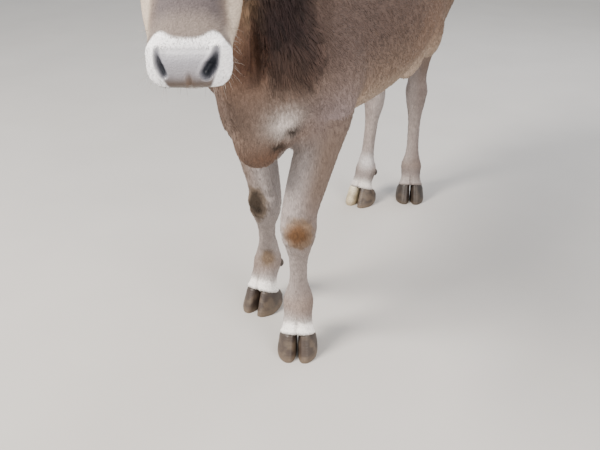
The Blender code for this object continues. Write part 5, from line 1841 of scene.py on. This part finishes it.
# %% Which way the hair lies
def lie(points, normals):
    x, y, z = points.T
    side = np.sign(x - neck_middle(points))
    run = np.stack([0 * x, 0 * x + 1, -0.55 - 0.5 * below(z, 0.6, 0.85)], axis=1)
    forward = above(-y, 0.4, 0.56)[:, None]
    spread = side * (-0.12 + 0.55 * above(side * (x - neck_middle(points)), 0.07, 0.12))
    run = run * (1 - forward) + np.stack([spread, 0.3 + 0 * x, -1 + 0 * x], axis=1) * forward
    legs = leg_share(points)[:, None]
    run = run * (1 - legs) + np.array((0, 0.12, -1.0)) * legs
    behind = above(y, 0.6, 0.63)[:, None]
    run = run * (1 - behind) + np.array((0, 0.05, -1.0)) * behind
    signed = head_coordinates(points)
    along, _, left = signed.T
    low = above(along, 0.075, 0.125)
    cheek = above(np.abs(left), 0.045, 0.07) * below(along, 0.24, 0.3)
    ahead = (2 * low - 1) * (1 - cheek) - 0.35 * cheek
    down = -0.15 - 0.75 * cheek - 0.3 * (1 - low)
    aside = np.sign(left) * (0.1 + 0.9 * (1 - low) * np.exp(-((left / 0.05) ** 2)) * np.abs(left) / 0.05)
    face = np.stack([ahead, down, aside], axis=1) @ HEAD_AXES
    face += (np.array(BROW) * 0.6)[None] * (bump(along, 0.1, 0.02) * (np.abs(left) < 0.03))[:, None]
    share = head_share(points)[:, None]
    run = run * (1 - share) + face * share
    return laid_on(run, normals)


# %% [markdown]
# ## Roots
# Roots are scattered over the skin's triangles by their area, but not on bare skin or on the
# flat ends inside the hooves. Each part of the body gets its own count, so that the face's small
# tufts lie denser than the large ones of the trunk.

# %% Parts of the coat
skin.data.calc_loop_triangles()
corner_index = np.empty(len(skin.data.loop_triangles) * 3, dtype=np.int32)
skin.data.loop_triangles.foreach_get("vertices", corner_index)
corner_index = corner_index.reshape(-1, 3)
skin_points = vertex_array(skin.data)
skin_normals = normal_array(skin.data)
corners = skin_points[corner_index]
centres = corners.mean(axis=1)
areas = np.linalg.norm(np.cross(corners[:, 1] - corners[:, 0], corners[:, 2] - corners[:, 0]), axis=1) / 2


def on_hair_line(points):
    """True on the flat ends of the legs."""
    flat = np.zeros(len(points), dtype=bool)
    for name in LEGS:
        near, over = at_hoof(name, points)
        flat |= near & (over < 0.0004)
    return flat


def fringe_weight(points):
    """More tufts close over the hooves."""
    weight = np.ones(len(points))
    for name in LEGS:
        near, over = at_hoof(name, points)
        weight += 3 * near * bump(over, 0.004, 0.007)
    return weight


def in_neck(points):
    return (points[:, 1] < -0.455) & (points[:, 2] > 0.495)


hairy = (bare[corner_index].mean(axis=1) < 0.3) & ~on_hair_line(centres)
face_area = hairy & (head_share(centres) > 0.5)
neck_area = hairy & ~face_area & in_neck(centres)
leg_area = hairy & ~face_area & ~neck_area & (leg_share(centres) > 0.5)
trunk_area = hairy & ~face_area & ~neck_area & ~leg_area
for word, area in (("face", face_area), ("neck", neck_area), ("legs", leg_area), ("trunk", trunk_area)):
    print(word, "in square metres:", round(float(areas[area].sum()), 3))


# %% Scatter roots
def scatter(area, count, seed, weight=None):
    draw = np.random.default_rng(seed)
    share = areas * area
    if weight is not None:
        share = share * weight(centres)
    chosen = draw.choice(len(share), size=count, p=share / share.sum())
    u, v = draw.random(count), draw.random(count)
    over = u + v > 1
    u[over], v[over] = 1 - u[over], 1 - v[over]
    mix = np.stack([1 - u - v, u, v], axis=1)[:, :, None]
    index = corner_index[chosen]
    normals = (skin_normals[index] * mix).sum(axis=1)
    normals /= np.linalg.norm(normals, axis=1)[:, None]
    return (skin_points[index] * mix).sum(axis=1), normals


# %% [markdown]
# ## Locks
# Neighbouring tufts lean together in small locks, which makes a coat look soft instead of
# sprayed on. Some roots are chosen as leaders, and every tip is drawn part of the way to the
# tip of its nearest leader.

# %% Lean tufts together
def lock_pull(roots, runs, lengths, spacing, strength, draw):
    leaders = draw.choice(len(roots), size=max(8, int(len(roots) / spacing)), replace=False)
    tree = KDTree(len(leaders))
    for k, leader in enumerate(leaders):
        tree.insert(roots[leader], k)
    tree.balance()
    nearest = np.array([leaders[tree.find(root)[1]] for root in roots])
    tips = roots + runs * lengths[:, None]
    pull = (tips[nearest] - tips) * strength
    size = np.linalg.norm(pull, axis=1)
    limit = 0.45 * lengths
    return pull * np.minimum(1, limit / (size + 1e-9))[:, None], nearest


def fur(name, area, count, seed, width, lift, spacing, strength=0.38, stations=2, weight=None, patchy=0.2):
    """Tufts over one part of the skin, as one piece."""
    draw = np.random.default_rng(seed)
    roots, normals = scatter(area, count, seed, weight)
    runs = lie(roots, normals)
    sway = np.stack([ripple(roots, 0.055, seed + k) for k in (1, 2, 3)], axis=1)
    runs = laid_on(runs + 0.16 * sway + 0.09 * draw.normal(size=roots.shape), normals)
    lengths = coat_length(roots) * (0.75 + 0.5 * draw.random(count))
    pull, nearest = lock_pull(roots, runs, lengths, spacing, strength, draw)
    widths = width * (0.75 + 0.5 * draw.random(count))
    lifts = lift * (0.6 + 0.8 * draw.random(count))
    tone = 1 + 0.16 * (draw.random(count) - 0.5) + patchy * (draw.random(count)[nearest] - 0.5)
    colours = coat_colour(roots) * tone[:, None]
    jitter = 0.15 * draw.normal(size=roots.shape) + runs * 0.2
    looks = (colours, short_keratin, stations, pull, None, jitter)
    return blades(name, roots, normals, runs, lengths, widths, lifts, *looks)


short_keratin = hair_material("short_hair", 0.66)

# %% Grow the coat
shaggy = neck_area & (shag(centres) > 0.12)
chest_area = neck_area & ~shaggy
coat = []
for part in range(4):
    half = trunk_area & ((centres[:, 0] > 0) == (part % 2 == 0)) & ((centres[:, 2] > 0.8) == (part < 2))
    coat.append(fur(f"trunk_fur_{part}", half, 12500, 40 + part, 0.0026, 0.26, 7))
left_of_neck = centres[:, 0] > neck_middle(centres)
HALVES = (
    # name, area, what halves it, tufts in each half, seed, width, lift, lock size, pull and the rest
    ("neck", shaggy, left_of_neck, 6800, 50, 0.0024, 0.3, 18, 0.6, (3, None, 0.6)),
    ("chest", chest_area, left_of_neck, 6200, 54, 0.0021, 0.24, 6, 0.25, (2, None, 0.12)),
    ("leg", leg_area, centres[:, 1] < 0, 10800, 60, 0.0018, 0.2, 6, 0.25, (2, fringe_weight)),
    ("face", face_area, folded_head(centres)[:, 0] > 0.22, 9500, 70, 0.0013, 0.2, 5, 0.25, ()),
)
for name, area, first, count, seed, width, lift, spacing, strength, rest in HALVES:
    for part in range(2):
        half = area & (first == (part == 0))
        tufts = fur(f"{name}_fur_{part}", half, count, seed + part, width, lift, spacing, strength, *rest)
        coat.append(tufts)
print("coat triangles:", sum(len(piece.data.polygons) for piece in coat))

# %% [markdown]
# ## Hair of the ears
# The backs of the ears carry short dark hair. From inside the cup grow long pale hairs that fan
# out over the rim, which is what gives the ear its soft edge.

# %% Ear hair
def ear_hair(word, side, outside):
    inner, outer, facing = ear_sheets[word]
    along = np.array(ear_axes(side)[0])
    draw = np.random.default_rng(90 + 2 * outside + (side > 0))
    count = 1900 if outside else 1500
    a = draw.uniform(0.06, 0.985, count)
    if outside:
        b = draw.uniform(-0.99, 0.99, count)
    else:
        b = np.sign(draw.normal(size=count)) * draw.random(count) ** 0.5
    row, column = a * (EAR_ROWS - 1), (b + 1) / 2 * (EAR_COLUMNS - 1)
    i = np.clip(row.astype(int), 0, EAR_ROWS - 2)
    j = np.clip(column.astype(int), 0, EAR_COLUMNS - 2)
    u, v = (row - i)[:, None], (column - j)[:, None]
    sheet = (outer if outside else inner).reshape(EAR_ROWS, EAR_COLUMNS, 3)
    roots = (sheet[i, j] * (1 - u) + sheet[i + 1, j] * u) * (1 - v)
    roots += (sheet[i, j + 1] * (1 - u) + sheet[i + 1, j + 1] * u) * v
    normals = facing.reshape(EAR_ROWS, EAR_COLUMNS, 3)[i, j] * (-1 if outside else 1)
    outward = unit(sheet[i, j + 1] - sheet[i, j]) * np.sign(b)[:, None]
    runs = along[None] + outward * (0.25 if outside else 0.9) * np.abs(b)[:, None]
    runs = laid_on(runs + 0.12 * draw.normal(size=roots.shape), normals)
    if outside:
        lengths = 0.01 * (0.7 + 0.6 * draw.random(count))
        tones = ("54443d", "61504a", "483a35")
    else:
        lengths = 0.022 * (0.5 + 0.8 * draw.random(count)) * (1 - 0.45 * a)
        tones = ("b7a99f", "a4958b", "8d7d73")
    colours = any_of(tones, count, draw) * (1 - 0.5 * above(a, 0.8, 1.0))[:, None]
    widths = (0.0026 if outside else 0.0016) * (0.7 + 0.6 * draw.random(count))
    lifts = (0.25 if outside else 0.55) * (0.6 + 0.8 * draw.random(count))
    pull, _ = lock_pull(roots, runs, lengths, 6, 0.3, draw)
    chart = np.stack([0.51 + 0.1 * a + 0.12 * (side > 0), 0.62 + 0.1 * b + 0.22 * outside], axis=1)
    name = f"ear_{'back' if outside else 'cup'}_hair_{word}"
    jitter = 0.15 * draw.normal(size=roots.shape)
    looks = (colours, short_keratin, 2, pull, chart, jitter)
    return blades(name, roots, normals, runs, lengths, widths, lifts, *looks)


for word, side in SIDES.items():
    coat += [ear_hair(word, side, True), ear_hair(word, side, False)]
print("pieces of coat and ear hair:", len(coat))

# %% [markdown]
# ## Lashes and whiskers
# Cattle have long dark lashes on the upper lid, and stiff pale whiskers that stand alone on the
# lips and chin. They are sparse blades, longer than the coat.

# %% Lashes
def lashes(side):
    count = 46
    draw = np.random.default_rng(110 + side)
    share = np.linspace(-0.92, 0.92, count) + 0.01 * draw.normal(size=count)
    run = LID_REACH[0] * share
    rise = LID_REACH[1] * 1.05 * np.clip(1 - np.abs(share) ** 1.8, 0, 1) ** (1 / 1.8) + 0.0008
    ahead = run * math.cos(SLIT_TILT) + rise * math.sin(SLIT_TILT)
    over = -run * math.sin(SLIT_TILT) + rise * math.cos(SLIT_TILT)
    reach = EYE_RADIUS + LID_THICKNESS - 0.0002
    out = np.sqrt(np.maximum(reach**2 - ahead**2 - over**2, 1e-6))
    roots = from_head(np.stack([EYE[0] + ahead, EYE[1] + over, side * (EYE[2] + out)], axis=1))
    brow, nose = np.array(BROW), np.array(NOSE)
    normals = unit(roots - np.array(head_point(EYE[0], EYE[1], EYE[2] * side)))
    runs = normals * 0.75 + brow * 0.7 + nose * (0.15 + 0.7 * share)[:, None]
    runs = unit(runs + 0.06 * draw.normal(size=roots.shape))
    lengths = 0.015 * (0.75 + 0.4 * draw.random(count)) * (1 - 0.35 * np.abs(share))
    widths, lifts = np.full(count, 0.0007), np.full(count, 0.2)
    up, tone = np.tile(brow, (count, 1)), plain("1f1815", roots)
    pull = -brow[None] * (0.2 * lengths)[:, None]
    looks = (tone, long_keratin, 4, pull)
    return blades(f"lashes_{side + 1}", roots, up, runs, lengths, widths, lifts, *looks)


# %% Whiskers
def whiskers():
    draw = np.random.default_rng(120)
    count = 90
    local = folded_head(centres)
    beside = (local[:, 0] > 0.315) & (np.abs(local[:, 1] + 0.046) < 0.038)
    roots, normals = scatter(hairy & face_area & beside, count, 121)
    runs = unit(lie(roots, normals) * 0.55 + normals + 0.22 * draw.normal(size=roots.shape))
    lengths = 0.01 + 0.014 * draw.random(count)
    widths, tone = np.full(count, 0.00045), plain("b9b4ae", roots)
    pull = np.array((0, 0, -1.0))[None] * (0.22 * lengths)[:, None]
    looks = (tone, long_keratin, 3, pull)
    return blades("whiskers", roots, normals, runs, lengths, widths, 0 * widths, *looks)


coat += [lashes(1), lashes(-1), whiskers()]
print("pieces of hair:", len(coat))

# %% [markdown]
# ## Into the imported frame
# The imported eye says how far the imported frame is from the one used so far, and every piece
# moves by that step.

# %% Place the pieces and say what each replaces
low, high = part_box("eye_left")
STEP = (Vector(low) + Vector(high)) / 2 - head_point(*EYE)

flesh_nodes = ["head", "neck", "torso", "tail"]
flesh_nodes += [f"{leg}_{part}" for leg in LEGS for part in ("upper", "lower")]
pieces = {skin: ("coat", flesh_nodes), switch: ("switch_hair", ["tail_switch"])}
pieces[forelock] = ("switch_hair", ["forelock"])
for word in ("left", "right"):
    pieces[eyes[word]] = ("eye", ["eye_" + word])
    pieces[horns[word]] = ("horn", ["horn_" + word])
    pieces[ears[word]] = ("coat", ["ear_" + word])
for node, piece in claws.items():
    pieces[piece] = ("hoof_horn", [node])
for piece in coat:
    pieces[piece] = ("coat", [])
for piece, (slot, nodes) in pieces.items():
    piece.data.transform(Matrix.Translation(STEP))
    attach(piece, "root")
    if nodes:
        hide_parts(*nodes)
total = sum(sum(len(p.vertices) - 2 for p in piece.data.polygons) for piece in pieces)
print("pieces:", len(pieces), "triangles:", total)

# %% [markdown]
# ## Floor, light and camera
# A plain pale floor and soft light, strongest from high on the camera's left, as in the picture.
# The camera looks down at the animal's left front.

# %% Floor
def floor_material():
    material, tree, shader = new_material("pale_floor", {"Roughness": 0.85, "IOR": 1.45})
    specks = grain(tree, 3.0, 6.0)
    dark, light = linear("b2b0ad"), linear("bdbbb8")
    mix = add_node(tree, "ShaderNodeMix", {"data_type": "RGBA", 6: dark, 7: light}, {0: (specks, "Fac")})
    tree.links.new(mix.outputs[2], shader.inputs["Base Color"])
    return material


FLOOR_REACH = 8.0  # from the middle to each edge
bm = bmesh.new()
bmesh.ops.create_grid(bm, x_segments=1, y_segments=1, size=FLOOR_REACH)
studio = bpy.context.scene.collection
floor = new_object("floor", mesh_of(bm, "floor"), studio)
floor.data.materials.append(floor_material())
print("floor across in metres:", 2 * FLOOR_REACH)

# %% Light
CAMERA_PLACE = Vector((0.679, -1.731, 1.08)) + Vector((STEP.x, STEP.y, 0))
CAMERA_TURN = math.radians(25.5)
CAMERA_TILT = math.radians(27.5)
BODY_MIDDLE = Vector((0, -0.25, 0.55))


def area_light(name, place, size, power, colour):
    lamp = bpy.data.lights.new(name, "AREA")
    lamp.shape = "DISK"
    lamp.size, lamp.energy, lamp.color = size, power, linear(colour)[:3]
    obj = new_object(name, lamp, studio)
    obj.location = place
    obj.rotation_euler = (BODY_MIDDLE - Vector(place)).to_track_quat("-Z", "Y").to_euler()


area_light("key", (-1.9, -2.6, 3.4), 1.8, 420, "fff6ec")
area_light("fill", (2.9, -1.6, 2.2), 2.4, 120, "fff4ea")
area_light("back", (0.6, 3.0, 2.8), 2.2, 60, "f4f6ff")
world = bpy.data.worlds.new("studio")
world.use_nodes = True
sky = world.node_tree.nodes["Background"]
sky.inputs["Color"].default_value = linear("eef0f2")
sky.inputs["Strength"].default_value = 0.98
bpy.context.scene.world = world
print("lights:", 3)

# %% Camera
camera = new_object("camera", bpy.data.cameras.new("camera"), studio)
camera.data.lens = 42.0
camera.data.sensor_width = 36.0
camera.location = CAMERA_PLACE
camera.rotation_euler = (math.pi / 2 - CAMERA_TILT, 0, CAMERA_TURN)
bpy.context.scene.camera = camera
print("camera at", [round(c, 3) for c in camera.location])
